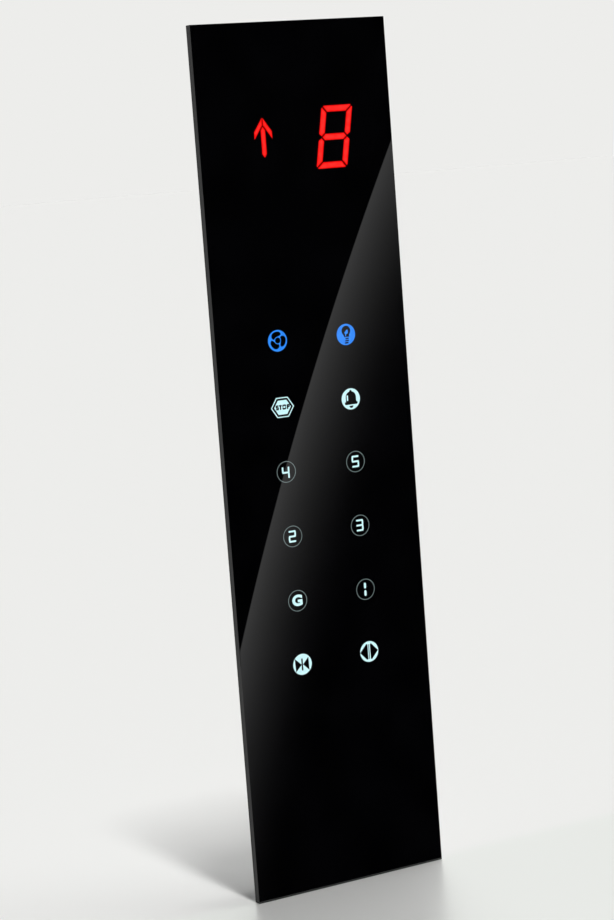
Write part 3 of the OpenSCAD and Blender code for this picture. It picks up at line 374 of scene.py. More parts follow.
def merge(target, part, place):
    """Adds a small bmesh to a target mesh, put in place by a matrix."""
    bmesh.ops.transform(part, verts=part.verts[:], matrix=place)
    passing = bpy.data.meshes.new("passing")
    part.to_mesh(passing)
    part.free()
    target.from_mesh(passing)
    bpy.data.meshes.remove(passing)


print("piece helpers ready")

# %% [markdown]
# ## Flat shapes with a depth
# Marks and print are flat. They are drawn as outlines in the plane of the glass, in millimetres from the
# panel's middle, and then given a depth, which makes each one a thin closed solid.

# %% Flat shapes
def outline(points, round_by=0.0):
    """A flat face in the glass's plane through points given as x and z in mm, its corners rounded."""
    flat = bmesh.new()
    corners = [flat.verts.new((x * MM, 0.0, z * MM)) for x, z in points]
    flat.faces.new(corners)
    flat.normal_update()
    if round_by:
        soften(flat, corners, round_by * MM, 4, "VERTICES")
    return flat


def disc(x, z, radius):
    """A flat round face about x, z in mm."""
    flat = bmesh.new()
    place = Matrix.Translation((x * MM, 0, z * MM)) @ Matrix.Rotation(math.pi / 2, 4, "X")
    bmesh.ops.create_circle(flat, cap_ends=True, segments=64, radius=radius * MM, matrix=place)
    return flat


def hollow(flat, stroke):
    """Leaves only a rim of a flat face, as wide as the stroke in mm."""
    inner = bmesh.ops.inset_region(flat, faces=flat.faces[:], thickness=stroke * MM, use_boundary=True,
                                   use_even_offset=True)
    rim = set(inner["faces"])
    bmesh.ops.delete(flat, geom=[f for f in flat.faces if f not in rim], context="FACES")
    return flat


def thicken(target, flat, front, back, finish=0):
    """Gives a flat outline its depth, from a front to a back level in mm, and adds it to a mesh."""
    bmesh.ops.translate(flat, verts=flat.verts[:], vec=(0, front * MM, 0))
    grown = bmesh.ops.extrude_face_region(flat, geom=flat.faces[:])["geom"]
    moved = [part for part in grown if isinstance(part, bmesh.types.BMVert)]
    bmesh.ops.translate(flat, verts=moved, vec=(0, (back - front) * MM, 0))
    if finish is not None:
        for face in flat.faces:
            face.material_index = finish
    bmesh.ops.recalc_face_normals(flat, faces=flat.faces[:])
    merge(target, flat, Matrix())


print("flat shapes ready")

# %% [markdown]
# ## The glass
# The front is one sheet of toughened glass, printed black on its back, with ground edges. Seen from
# outside, polished glass over black print is a dark mirror, so an opaque near-black with the gloss of
# glass gives the same look without any light lost inside. Toughening leaves a faint roller wave in the
# surface. The ground edge is grey and matt, and its colour darkens towards the back.

# %% Glass finishes
GLASS_IOR = 1.52
ROLLER_WAVE = 250 * MM


def black_glass():
    """Toughened float glass, back printed: a sharp dark mirror with a slight roller wave."""
    made, tree, shader, where = start("toughened_black_glass", Roughness=0.0, IOR=GLASS_IOR)
    soft = add(tree, "ShaderNodeTexNoise", {}, {"Vector": where, "Scale": 1 / (40 * MM), "Detail": 1.0})
    tree.links.new(shades(tree, soft.outputs["Fac"], "#020203", "#050507"), shader.inputs["Base Color"])
    bands = {"Vector": where, "Scale": ripple(ROLLER_WAVE)}
    roller = add(tree, "ShaderNodeTexWave", {"bands_direction": "Z"}, bands)
    relief(tree, shader, roller.outputs["Fac"], 2e-6)
    return made


def ground_glass():
    """The same glass ground along its edge: grey and matt, with fine lines along the grinding."""
    made, tree, shader, where = start("ground_glass_edge", Specular_IOR_Level=0.25, IOR=GLASS_IOR)
    front, back = (corner.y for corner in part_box("front_glass"))
    depth = add(tree, "ShaderNodeSeparateXYZ", {}, {"Vector": where}).outputs["Y"]
    # The edge's colour runs from lighter grey at the front to darker grey at the back.
    forward = spread(tree, depth, 1.0, 0.0, front, back)
    tree.links.new(shades(tree, forward, "#121213", "#2a2a2b", 0.1, 0.6), shader.inputs["Base Color"])
    grind = add(tree, "ShaderNodeMapping", {}, {0: where, "Scale": (1.0, 12.0, 1.0)}).outputs[0]
    lines = add(tree, "ShaderNodeTexNoise", {}, {"Vector": grind, "Scale": 1 / (4 * MM), "Detail": 3.0})
    tree.links.new(spread(tree, lines.outputs["Fac"], 0.5, 0.7), shader.inputs["Roughness"])
    relief(tree, shader, lines.outputs["Fac"], 20e-6)
    return made


glass_black, glass_edge = black_glass(), ground_glass()
print("glass finishes ready")

# %% [markdown]
# ## The glass sheet
# The CAD glass is an exact block. Its copy here gets rounded edges, which catch a fine line of light, and
# its front stops a few hundredths of a millimetre short, so that the lit marks can lie on it and still
# end where the solid ends. The marks step forward by layers: lit plate, dark print, lit touch.

# %% Glass sheet
FRONT = round(cad_box[0][1] / MM, 3)
LAYER = 0.02
OVER_FACE, PRINT_FACE, LIT_FACE, GLASS_FACE = (FRONT + i * LAYER for i in range(4))
LIT_BACK = GLASS_FACE + 0.05
ARRIS = 0.35

low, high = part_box("front_glass")
sheet_low = Vector((low.x, GLASS_FACE * MM, low.z))
size, middle = high - sheet_low, (high + sheet_low) / 2
mesh = bmesh.new()
bmesh.ops.create_cube(mesh, size=1.0, matrix=Matrix.Translation(middle) @ Matrix.Diagonal((*size, 1.0)))
soften(mesh, mesh.edges[:], ARRIS * MM, 2)
for face in mesh.faces:
    face.material_index = 0 if abs(face.normal.y) > 0.3 else 1
piece("glass_sheet", mesh, "front_panel", [glass_black, glass_edge], ["front_glass"])

# %% [markdown]
# ## Light through the glass
# Each mark is a clear window in the black print with a lamp and an opal lens behind it. From outside it
# reads as a flat glowing shape flush with the glass, so it is a thin plate that glows evenly, under the
# same gloss as the glass. A faint grain stands for the lens's unevenness. The colours are those of the
# photograph: cool white for most marks, blue for two, grey for the dim rings and red for the display.

# %% Lit finishes
def lit_window(name, dim, bright):
    """A clear window over an opal lens, lit from behind: an even glow with a faint grain."""
    made, tree, shader, where = start(name, Base_Color=(0, 0, 0, 1), Roughness=0.0, IOR=GLASS_IOR)
    shader.inputs["Emission Strength"].default_value = 1.0
    grain = add(tree, "ShaderNodeTexNoise", {}, {"Vector": where, "Scale": 1 / (3 * MM), "Detail": 1.0})
    tree.links.new(shades(tree, grain.outputs["Fac"], dim, bright), shader.inputs["Emission Color"])
    return made


cool_white = lit_window("cool_white_window", "#cbf4f9", "#d6fcff")
clear_blue = lit_window("blue_window", "#2e86f6", "#3590ff")
dim_grey = lit_window("dim_ring_window", "#718080", "#7d8d8d")
red_core = lit_window("red_epoxy_core", "#ff2825", "#ff342f")
red_rim = lit_window("red_epoxy_rim", "#f40c0a", "#ff1614")
red_dim = lit_window("red_epoxy_unlit", "#3c0303", "#4c0404")
print("lit finishes ready")

# %% [markdown]
# ## The floor display
# The red figure and the arrow are bars of tinted epoxy that end at the glass. Their outlines are
# already in the CAD solids, so the front faces are copied from there, which keeps the two in step.
# Each bar is brighter along its middle, so its face is inset and the rim gets a deeper red. A dim seam
# parts the arrow's shaft at its tip.

# %% Display bars
CORE_RIM = 0.8
SEAM_HALF_W, SEAM_H = 0.5, 5.4
WELD = 1e-6


def front_faces(node):
    """The front faces of a CAD node's solids, one flat face each, moved to depth zero."""
    flat = bmesh.new()
    flat.from_mesh(nodes[node].data)
    bmesh.ops.remove_doubles(flat, verts=flat.verts[:], dist=WELD)
    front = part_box(node)[0].y
    others = [f for f in flat.faces if f.normal.y > -0.9 or f.calc_center_median().y > front + 0.01 * MM]
    bmesh.ops.delete(flat, geom=others, context="FACES")
    bmesh.ops.dissolve_limit(flat, angle_limit=0.01, verts=flat.verts[:], edges=flat.edges[:])
    bmesh.ops.translate(flat, verts=flat.verts[:], vec=(0, -front, 0))
    return flat


def lit_bars(node):
    """The bars of a display module, with a bright core (finish 0) in a deeper rim (finish 1)."""
    flat = front_faces(node)
    rims = bmesh.ops.inset_individual(flat, faces=flat.faces[:], thickness=CORE_RIM * MM,
                                      use_even_offset=True)
    for face in rims["faces"]:
        face.material_index = 1
    bars = bmesh.new()
    thicken(bars, flat, LIT_FACE, LIT_BACK, None)
    return bars


piece("lit_digit", lit_bars("digit_bars"), "front_panel", [red_core, red_rim])
arrow = lit_bars("arrow_bars")
low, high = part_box("arrow_bars")
left, right = ((low.x + high.x) / 2 / MM + side * SEAM_HALF_W for side in (-1, 1))
tip = high.z / MM
seam = outline([(left, tip), (left, tip - SEAM_H), (right, tip - SEAM_H), (right, tip)])
thicken(arrow, seam, GLASS_FACE - LAYER / 2, LIT_BACK, 2)
piece("lit_arrow", arrow, "front_panel", [red_core, red_rim, red_dim])

# %% [markdown]
# ## Touch marks
# Every key is one picture about 15 mm across. A filled mark is a lit plate with a dark symbol printed
# on it, and a floor key is a thin ring round a figure. The shapes are plain outlines: discs, hexagons,
# triangles, and strokes with round ends, so each mark takes a handful of points.

# %% Outlines for the marks
def shifted(points, x, z, turn=0.0):
    """Points in mm turned about zero by an angle in degrees and then moved to x, z."""
    c, s = math.cos(math.radians(turn)), math.sin(math.radians(turn))
    return [(x + c * px - s * pz, z + s * px + c * pz) for px, pz in points]


def arc(x, z, rx, rz, begin, end, steps=16):
    """Points on an ellipse about x, z between two angles in degrees."""
    angles = [math.radians(begin + (end - begin) * i / steps) for i in range(steps + 1)]
    return [(x + rx * math.cos(a), z + rz * math.sin(a)) for a in angles]


def stroke(x0, z0, x1, z1, width):
    """A straight stroke between two points with round ends."""
    along = Vector((x1 - x0, z1 - z0)).normalized()
    side = Vector((-along.y, along.x)) * width / 2
    a, b = Vector((x0, z0)), Vector((x1, z1))
    return outline([a - side, b - side, b + side, a + side], round_by=width * 0.3)


def hexagon(x, z, half_w, half_top, half_h):
    """A hexagon about x, z with a corner at each side and level edges at its top and bottom."""
    half = [(-half_w, 0.0), (-half_top, -half_h), (half_top, -half_h)]
    return outline(shifted(half, x, z) + shifted(half, x, z, 180))


def mark(name, lit, plates, prints=(), over=()):
    """One touch mark: lit plates, a dark print on them and lit touches over the print."""
    mesh = bmesh.new()
    for flats, face, finish in ((plates, LIT_FACE, 0), (prints, PRINT_FACE, 1), (over, OVER_FACE, 0)):
        for flat in flats:
            thicken(mesh, flat, face, LIT_BACK, finish)
    piece(name, mesh, "front_panel", [lit, glass_black])


print("marks lie from", round(OVER_FACE, 2), "to", round(LIT_BACK, 2), "mm")

# %% [markdown]
# ## Fan and lamp
# The fan is one curved blade, turned twice by a third of a circle round its hub. The lamp is a globe
# drawn as an arc, three strokes for the screw cap, and a lit flame with its stem over the dark globe.

# %% Fan and lamp keys
DISC = 7.35
HUB_AT, HUB_R = (-27.1, 86.21), 2.05
BLADE = [(1.95, 2.05), (2.85, 2.8), (4.05, 2.95), (5.4, 2.3), (6.2, 0.95), (6.25, -0.65), (5.7, -2.35),
         (4.65, -3.9), (3.3, -4.5), (2.1, -4.4), (1.85, -3.1), (2.1, -1.75), (2.5, -0.5), (2.5, 0.6),
         (2.2, 1.4)]
blades = [outline(shifted(BLADE, *HUB_AT, turn), round_by=0.1) for turn in (0, 120, 240)]
mark("fan_mark", clear_blue, [disc(-27.25, 86.0, DISC)], blades + [disc(*HUB_AT, HUB_R)])

CAP = ((26.2, 81.9, 28.7, 82.0, 0.9), (25.9, 80.4, 28.8, 80.5, 0.9), (25.6, 78.9, 28.3, 79.0, 1.0))
FLAME = [(25.3, 85.9), (26.5, 87.2), (27.9, 88.3), (28.5, 87.2), (28.3, 85.7), (27.4, 84.9), (26.0, 85.4)]
bulb = outline(arc(26.9, 87.3, 3.5, 3.5, -50, 230) + [(25.2, 83.0), (29.3, 83.0)])
filament = [outline(FLAME, round_by=0.15), stroke(26.4, 85.5, 26.4, 83.6, 0.7)]
mark("lamp_mark", clear_blue, [disc(26.7, 84.75, DISC)], [bulb] + [stroke(*line) for line in CAP], filament)

# %% [markdown]
# ## Stop and alarm
# The stop key is a hexagon in a hexagonal rim, with its word in bold strokes. A font would do, but the
# strokes can then not be set one by one, so each letter picks from the seven strokes of a segment sign.
# T and P get one upright stroke more. The bell is a dome on a rim, with a clapper below.

# %% Stop and alarm keys
STROKE_GAP = 0.15
STOP_AT = (-27.3, 40.4)
WORD = (("AFGCD", -31.4, 0.75), ("A", -28.9, 0.75), ("ABCDEF", -25.95, 1.0), ("ABGF", -22.75, 0.72))
WORD_Z = STOP_AT[1] + 0.1
LETTER_H, LETTER_W = 1.2, 1.0


def seven(keys, x, z, half_w, half_h, width):
    """The strokes of a seven-segment sign, named A to G from the top round to the middle one."""
    side, end, gap = half_w + 0.3 * width, half_h - STROKE_GAP, STROKE_GAP
    ends = {"A": (-side, half_h, side, half_h), "B": (half_w, gap, half_w, end),
            "C": (half_w, -end, half_w, -gap), "D": (-side, -half_h, side, -half_h),
            "E": (-half_w, -end, -half_w, -gap), "F": (-half_w, gap, -half_w, end),
            "G": (-side, 0.0, side, 0.0)}
    bars = [ends[key] for key in keys]
    return [stroke(x + x0, z + z0, x + x1, z + z1, width) for x0, z0, x1, z1 in bars]


word = []
for keys, x, half_w in WORD:
    word += seven(keys, x, WORD_Z, half_w, LETTER_H, LETTER_W)
foot, head = WORD_Z - LETTER_H - LETTER_W / 2, WORD_Z + LETTER_H
word += [stroke(x, foot, x, head, LETTER_W) for x in (WORD[1][1], WORD[3][1] - WORD[3][2])]
plates = [hollow(hexagon(*STOP_AT, 9.0, 4.45, 6.9), 0.66), hexagon(*STOP_AT, 6.5, 3.35, 4.9)]
mark("stop_mark", cool_white, plates, word)

dome = outline(arc(27.0, 41.2, 4.1, 4.0, 0, 180) + [(22.9, 38.0), (31.1, 38.0)])
rim = outline([(21.9, 36.0), (32.1, 36.0), (32.1, 38.0), (21.9, 38.0)], round_by=0.9)
clapper = outline(arc(27.0, 35.2, 1.6, 1.6, 180, 360))
knob = disc(27.0, 45.3, 0.9)
shine = stroke(24.2, 38.8, 24.2, 42.6, 1.1)
mark("alarm_mark", cool_white, [disc(26.9, 39.9, DISC)], [dome, rim, clapper, knob], [shine])

# %% [markdown]
# ## Door keys
# Two triangles that point at a line mean close, and two that point away from it mean open. In the second
# mark the triangles' inner corners are cut off, so each has five points.

# %% Door keys
LEFT_IN = [(-32.75, -134.2), (-32.45, -143.6), (-27.6, -139.0)]
RIGHT_IN = [(-21.8, -143.6), (-22.0, -134.3), (-26.55, -138.9)]
shut = [outline(LEFT_IN), outline(RIGHT_IN), stroke(-27.2, -143.1, -27.2, -134.7, 1.15)]
mark("door_close_mark", cool_white, [disc(-27.0, -138.8, DISC)], shut)
LEFT_OUT = [(19.6, -138.95), (24.9, -133.3), (25.85, -133.6), (25.95, -144.2), (24.7, -144.4)]
RIGHT_OUT = [(27.85, -133.7), (28.8, -133.3), (34.1, -138.9), (28.9, -144.6), (27.95, -144.2)]
apart = [outline(LEFT_OUT), outline(RIGHT_OUT), stroke(26.85, -144.2, 26.85, -133.8, 0.6)]
mark("door_open_mark", cool_white, [disc(27.0, -138.9, DISC)], apart)

# %% [markdown]
# ## Floor keys
# The floor numbers are seven-segment figures too, each a choice from the same seven strokes. The four is
# a little taller than the others, and the one is two short bars with a gap between them.

# %% Floor figures
HALF_W, HALF_H, WIDTH = 2.3, 3.5, 1.24
FIGURES = {"4": "FGBC", "5": "AFGCD", "2": "ABGED", "3": "ABGCD"}
FIGURE_AT = {"4": (-28.6, -4.5), "5": (26.9, -3.9), "2": (-27.3, -49.0), "3": (26.75, -48.9)}
STRETCH = {"4": 1.16}
HALF_BAR = [(-0.5, 2.0), (-0.85, 1.2), (-0.85, -1.2), (-0.5, -2.0)]

for name, keys in FIGURES.items():
    figure = seven(keys, *FIGURE_AT[name], HALF_W, HALF_H * STRETCH.get(name, 1.0), WIDTH)
    mark(f"floor_{name}_mark", cool_white, figure)
bar = HALF_BAR + shifted(HALF_BAR, 0, 0, 180)
mark("floor_1_mark", cool_white, [outline(shifted(bar, 27.4, z)) for z in (-91.85, -97.15)])

# %% [markdown]
# ## Ground floor and rings
# The ground floor is a bold round letter, which seven strokes can't give, so a font draws it. It is made
# a mesh, fitted to its width and height, and stood up in the plane of the glass. The ring round each
# figure is a dim grey circle: a disc of which only the rim is left.

# %% Ground floor letter and rings
RING_AT = [(-28.2, -4.0), (27.0, -4.0), (-27.0, -49.0), (27.0, -49.0), (-27.0, -94.0), (27.6, -94.5)]
RING_R, RING_STROKE = 7.4, 0.42


def letters(text, x, z, width, height, bold):
    """Plain block letters as a flat mesh, fitted to a width and height in mm about x, z."""
    font = bpy.data.curves.new("letters", "FONT")
    font.body = text
    font.offset = bold
    font.resolution_u = 6
    carrier = bpy.data.objects.new("letters", font)
    bpy.context.scene.collection.objects.link(carrier)
    drawn = carrier.to_mesh()
    flat = bmesh.new()
    flat.from_mesh(drawn)
    carrier.to_mesh_clear()
    bpy.data.objects.remove(carrier)
    bpy.data.curves.remove(font)
    bmesh.ops.remove_doubles(flat, verts=flat.verts[:], dist=10 * WELD)
    xs, ys = [v.co.x for v in flat.verts], [v.co.y for v in flat.verts]
    centre = Vector((min(xs) + max(xs), min(ys) + max(ys), 0)) / 2
    wide, tall = max(xs) - min(xs), max(ys) - min(ys)
    fit = Matrix.Diagonal((width * MM / wide, height * MM / tall, 1.0, 1.0))
    stand = Matrix.Translation((x * MM, 0, z * MM)) @ Matrix.Rotation(math.pi / 2, 4, "X")
    bmesh.ops.transform(flat, verts=flat.verts[:], matrix=stand @ fit @ Matrix.Translation(-centre))
    return flat


mark("floor_G_mark", cool_white, [letters("G", -27.25, -93.75, 8.0, 7.95, 0.05)])
mark("floor_rings", dim_grey, [hollow(disc(*at, RING_R), RING_STROKE) for at in RING_AT])

# %% [markdown]
# ## Sheet metal and hardware
# The wall box and the carrier are hot-dip galvanised sheet, whose zinc crystals show as faint patches of
# tone about a centimetre wide. Hinges, nuts and screws are bright zinc plated, the lock is nickel plated
# die casting, and the studs and spacers are drawn brass. All are true metals, so most of their look is
# in the roughness.

# %% Metal finishes
def galvanised_steel():
    """Hot-dip galvanised sheet: satin metal, each zinc crystal a little lighter or darker."""
    made, tree, shader, where = start("galvanised_steel", Metallic=1.0)
    crystals = add(tree, "ShaderNodeTexVoronoi", {}, {"Vector": where, "Scale": 1 / (9 * MM)})
    tone = add(tree, "ShaderNodeSeparateColor", {}, {"Color": crystals.outputs["Color"]}).outputs[0]
    tree.links.new(shades(tree, tone, "#969a9e", "#b1b5b8", 0.0, 1.0), shader.inputs["Base Color"])
    tree.links.new(spread(tree, tone, 0.36, 0.50), shader.inputs["Roughness"])
    grain = add(tree, "ShaderNodeTexNoise", {}, {"Vector": where, "Scale": 1 / (1.2 * MM), "Detail": 2.0})
    relief(tree, shader, grain.outputs["Fac"], 8e-6)
    return made


def plated(name, dark, light, smooth, rough):
    """A plated or drawn metal: a clouded film over a smooth base."""
    made, tree, shader, where = start(name, Metallic=1.0)
    cloud = {"Vector": where, "Scale": 1 / (4 * MM), "Detail": 3.0}
    film = add(tree, "ShaderNodeTexNoise", {}, cloud).outputs["Fac"]
    tree.links.new(shades(tree, film, dark, light), shader.inputs["Base Color"])
    tree.links.new(spread(tree, film, smooth, rough), shader.inputs["Roughness"])
    relief(tree, shader, film, 4e-6)
    return made


sheet_zinc = galvanised_steel()
bright_zinc = plated("zinc_plated_steel", "#a4a8ab", "#c3c6c9", 0.20, 0.38)
die_cast = plated("nickel_plated_die_casting", "#a8a9a8", "#c2c1bd", 0.16, 0.30)
drawn_brass = plated("drawn_brass", "#a98b43", "#c8a95c", 0.22, 0.36)
tinned = plated("tinned_copper", "#b4b5b3", "#cfcfcb", 0.24, 0.40)
print("metal finishes ready")

# %% [markdown]
# ## Moulded plastics and rubber
# Moulded plastics differ in little but tone, gloss and the texture of the tool that shaped them: a
# spark-eroded tool leaves a fine grain, a polished one leaves none. One function covers them, with a
# soft change of tone over a few millimetres and a grain of a given size.

# %% Plastic finishes
def moulded(name, dark, light, gloss, grain, depth):
    """A moulded plastic or rubber: slow change of tone, and the grain of the tool in its surface."""
    made, tree, shader, where = start(name)
    slow = {"Vector": where, "Scale": 1 / (6 * MM), "Detail": 2.0}
    cloud = add(tree, "ShaderNodeTexNoise", {}, slow).outputs["Fac"]
    tree.links.new(shades(tree, cloud, dark, light), shader.inputs["Base Color"])
    fine = {"Vector": where, "Scale": 1 / grain, "Detail": 2.0}
    spark = add(tree, "ShaderNodeTexNoise", {}, fine).outputs["Fac"]
    tree.links.new(spread(tree, spark, gloss - 0.08, gloss + 0.08), shader.inputs["Roughness"])
    relief(tree, shader, spark, depth)
    return made


black_abs = moulded("moulded_black_abs", "#151618", "#1d1e21", 0.48, 0.4 * MM, 12e-6)
epoxy_black = moulded("black_epoxy_chip", "#17181a", "#222326", 0.55, 0.25 * MM, 10e-6)
shell_grey = moulded("grey_polycarbonate", "#232528", "#2e3034", 0.42, 0.4 * MM, 10e-6)
opal = moulded("opal_acrylic", "#dfe6e8", "#eff4f5", 0.25, 1.0 * MM, 3e-6)
phosphor = moulded("lamp_phosphor", "#e3cf7a", "#f1ead2", 0.40, 0.3 * MM, 5e-6)
red_epoxy = moulded("tinted_red_epoxy", "#b81512", "#dd241e", 0.22, 0.5 * MM, 4e-6)
green_nylon = moulded("green_polyamide", "#1f6b3a", "#2d8a4e", 0.40, 0.4 * MM, 9e-6)
blue_pbt = moulded("blue_pbt", "#28548f", "#2f5f9f", 0.36, 0.4 * MM, 7e-6)
ferrite = moulded("sintered_ferrite", "#29292b", "#434346", 0.70, 0.2 * MM, 14e-6)
white_pom = moulded("white_pom", "#cbccc8", "#dedfdb", 0.38, 0.4 * MM, 6e-6)
bush_rubber = moulded("epdm_rubber", "#191a1c", "#27282b", 0.68, 0.3 * MM, 12e-6)
print("plastic finishes ready")

# %% [markdown]
# ## Foam and foil
# The dust seal and the bonding strips are foam tape, whose cut-open round cells show as tiny dents, so
# a cell texture darkens and sinks them. The touch foil is clear polyester on which the electrodes are
# printed as fine lines. An even wave texture draws such lines best.

# %% Foam and foil finishes
def closed_cell_foam():
    """Polyethylene foam tape: matt black with cut-open cells about half a millimetre wide."""
    made, tree, shader, where = start("closed_cell_foam", Roughness=0.95)
    round_cells = {"Vector": where, "Scale": 1 / (0.6 * MM)}
    cells = add(tree, "ShaderNodeTexVoronoi", {}, round_cells).outputs["Distance"]
    tree.links.new(shades(tree, cells, "#2a2b2d", "#141516", 0.1, 0.6), shader.inputs["Base Color"])
    relief(tree, shader, cells, 0.15 * MM)
    return made


def polyester_foil():
    """Clear polyester with printed electrodes: amber film with darker lines 2 mm apart."""
    made, tree, shader, where = start("printed_polyester_foil", Roughness=0.18)
    bands = {"Vector": where, "Scale": ripple(2 * MM)}
    lines = add(tree, "ShaderNodeTexWave", {"bands_direction": "Z"}, bands).outputs["Fac"]
    tree.links.new(shades(tree, lines, "#8d6d3a", "#b8985e", 0.1, 0.3), shader.inputs["Base Color"])
    return made


foam_black, foil_amber = closed_cell_foam(), polyester_foil()
print("foam and foil finishes ready")

# %% [markdown]
# ## Ribbon and sleeves
# A flat ribbon has its first wire marked red, and a capacitor's sleeve has one pale stripe and leaves
# the bare aluminium can open at its top. Both could be separate faces. A step in the colour at a level
# that is measured from the solid's own box does the same and leaves the solid as it is.

# %% Ribbon and sleeve finishes
FIRST_WIRE = 1.2 * MM
BARE_RIM = 0.5 * MM
STRIPE_W = 0.45 * MM
SHARP = 0.05 * MM


def ribbon_cable():
    """Grey PVC flat ribbon, satin, with its first wire marked red."""
    made, tree, shader, where = start("pvc_flat_ribbon")
    across = add(tree, "ShaderNodeSeparateXYZ", {}, {"Vector": where}).outputs["X"]
    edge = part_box("ribbon_lead")[0].x + FIRST_WIRE
    first = spread(tree, across, 1.0, 0.0, edge, edge + 2 * SHARP)
    tree.links.new(shades(tree, first, "#84888d", "#a5262a", 0.4, 0.6), shader.inputs["Base Color"])
    grain = {"Vector": where, "Scale": 1 / (2 * MM), "Detail": 2.0}
    fine = add(tree, "ShaderNodeTexNoise", {}, grain).outputs["Fac"]
    tree.links.new(spread(tree, fine, 0.36, 0.50), shader.inputs["Roughness"])
    return made


def capacitor_sleeve():
    """A shrunk PVC sleeve with one pale stripe, open at the top on the bare aluminium can."""
    made, tree, shader, where = start("capacitor_sleeve")
    low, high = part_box("capacitors")
    part = add(tree, "ShaderNodeSeparateXYZ", {}, {"Vector": where}).outputs
    can = spread(tree, part["Y"], 0.0, 1.0, high.y - BARE_RIM, high.y - BARE_RIM + SHARP)
    stripe = spread(tree, part["Z"], 1.0, 0.0, low.z + STRIPE_W, low.z + STRIPE_W + SHARP)
    sleeve = shades(tree, stripe, "#262a4d", "#b9bcc4", 0.4, 0.6)
    # A colour Mix node takes its two colours at inputs 6 and 7 and gives the result at output 2.
    tints = {"Factor": can, 6: sleeve, 7: linear("#b2b4b5")}
    metal = add(tree, "ShaderNodeMix", {"data_type": "RGBA"}, tints).outputs[2]
    tree.links.new(metal, shader.inputs["Base Color"])
    tree.links.new(can, shader.inputs["Metallic"])
    grain = {"Vector": where, "Scale": 1 / (1 * MM), "Detail": 2.0}
    fine = add(tree, "ShaderNodeTexNoise", {}, grain).outputs["Fac"]
    tree.links.new(spread(tree, fine, 0.26, 0.40), shader.inputs["Roughness"])
    return made


ribbon_grey, sleeve_blue = ribbon_cable(), capacitor_sleeve()
print("ribbon and sleeve finishes ready")

# %% [markdown]
# ## Circuit boards
# The boards are glass-fibre laminate under green lacquer. Copper runs under the lacquer in short straight
# stretches, which show as paler raised lines, and bare gold rings mark the through-holes. The board is
# cut into squares, each square draws by lot whether its lines run across, run upright or are left out,
# and that gives the crowded look of a routed board. The tracks are drawn wider than real ones.

# %% Board finish
TRACK_PITCH = 1.27 * MM
TRACK_HALF_W, TRACK_EDGE = 0.2 * MM, 0.26 * MM
SQUARE = 7 * TRACK_PITCH
VIA_PITCH = 6 * TRACK_PITCH
UPRIGHT_FROM, BARE_FROM = 0.44, 0.80


def lacquered_board():
    """Green solder lacquer over copper tracks, with gold rings at the through-holes."""
    made, tree, shader, where = start("lacquered_glass_fibre_board", IOR=1.5)
    cut = {0: where, 1: (SQUARE, 1.0, SQUARE)}
    square = add(tree, "ShaderNodeVectorMath", {"operation": "SNAP"}, cut).outputs[0]
    lot = add(tree, "ShaderNodeTexWhiteNoise", {}, {"Vector": square}).outputs["Value"]
    part = add(tree, "ShaderNodeSeparateXYZ", {}, {"Vector": where}).outputs
    lines = []
    for axis in ("X", "Z"):
        fold = add(tree, "ShaderNodeMath", {"operation": "PINGPONG"}, {0: part[axis], 1: TRACK_PITCH / 2})
        lines.append(spread(tree, fold.outputs[0], 1.0, 0.0, TRACK_HALF_W, TRACK_EDGE))
    upright = spread(tree, lot, 0.0, 1.0, UPRIGHT_FROM, UPRIGHT_FROM + 0.01)
    tracks = add(tree, "ShaderNodeMix", {}, {"Factor": upright, "A": lines[0], "B": lines[1]}).outputs[0]
    routed = spread(tree, lot, 1.0, 0.0, BARE_FROM, BARE_FROM + 0.01)
    tracks = add(tree, "ShaderNodeMath", {"operation": "MULTIPLY"}, {0: tracks, 1: routed}).outputs[0]
    flat = add(tree, "ShaderNodeCombineXYZ", {}, {"X": part["X"], "Y": part["Z"]}).outputs[0]
    holes = add(tree, "ShaderNodeTexVoronoi", {"voronoi_dimensions": "2D"},
                {"Vector": flat, "Scale": 1 / VIA_PITCH, "Randomness": 0.35}).outputs["Distance"]
    gold = spread(tree, holes, 1.0, 0.0, 0.060, 0.068)
    lacquer = shades(tree, tracks, "#0f4a29", "#1c6b3e", 0.2, 0.8)
    tints = {"Factor": gold, 6: lacquer, 7: linear("#c2a45a")}
    both = add(tree, "ShaderNodeMix", {"data_type": "RGBA"}, tints).outputs[2]
    tree.links.new(both, shader.inputs["Base Color"])
    tree.links.new(gold, shader.inputs["Metallic"])
    tree.links.new(spread(tree, tracks, 0.34, 0.24), shader.inputs["Roughness"])
    relief(tree, shader, tracks, 0.03 * MM)
    return made


board_green = lacquered_board()
print("tracks", round(TRACK_PITCH / MM, 2), "mm apart in squares of", round(SQUARE / MM, 2), "mm")

# %% [markdown]
# ## Dressing the CAD solids
# The record already says which material every node is made of, so one table from material to finish
# dresses them all. Only the chips get a finish of their own.

# %% Finish of every CAD node
FINISH = {
    "zinc_sheet": sheet_zinc, "plated_steel": bright_zinc, "lock_zinc": die_cast, "brass": drawn_brass,
    "black_glass": glass_black, "foam_black": foam_black, "rubber_black": bush_rubber,
    "foil_amber": foil_amber, "black_plastic": black_abs, "lens_white": opal, "lamp_white": phosphor,
    "board_green": board_green, "module_grey": shell_grey, "lit_red": red_epoxy,
    "terminal_green": green_nylon, "relay_blue": blue_pbt, "capacitor_sleeve": sleeve_blue,
    "ferrite": ferrite, "ribbon_grey": ribbon_grey, "button_white": white_pom,
}
CHIPS = ("processor_chip", "touch_chips", "display_driver")

for row in frame["record"]["subparts"]:
    surface = nodes[row["node"]].data.materials
    for i in range(len(surface)):
        surface[i] = epoxy_black if row["node"] in CHIPS else FINISH[row["material_slot"]]

# %% [markdown]
# ## Finding places on the solids
# The small parts sit on boards and round chips whose places come from the frame, not from numbers typed
# in here. A node that holds several solids is split into them by walking along their edges, and each
# solid gives its box.

# %% Places from the frame
def back_of(node):
    """The level of a board's face towards the wall."""
    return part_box(node)[1].y


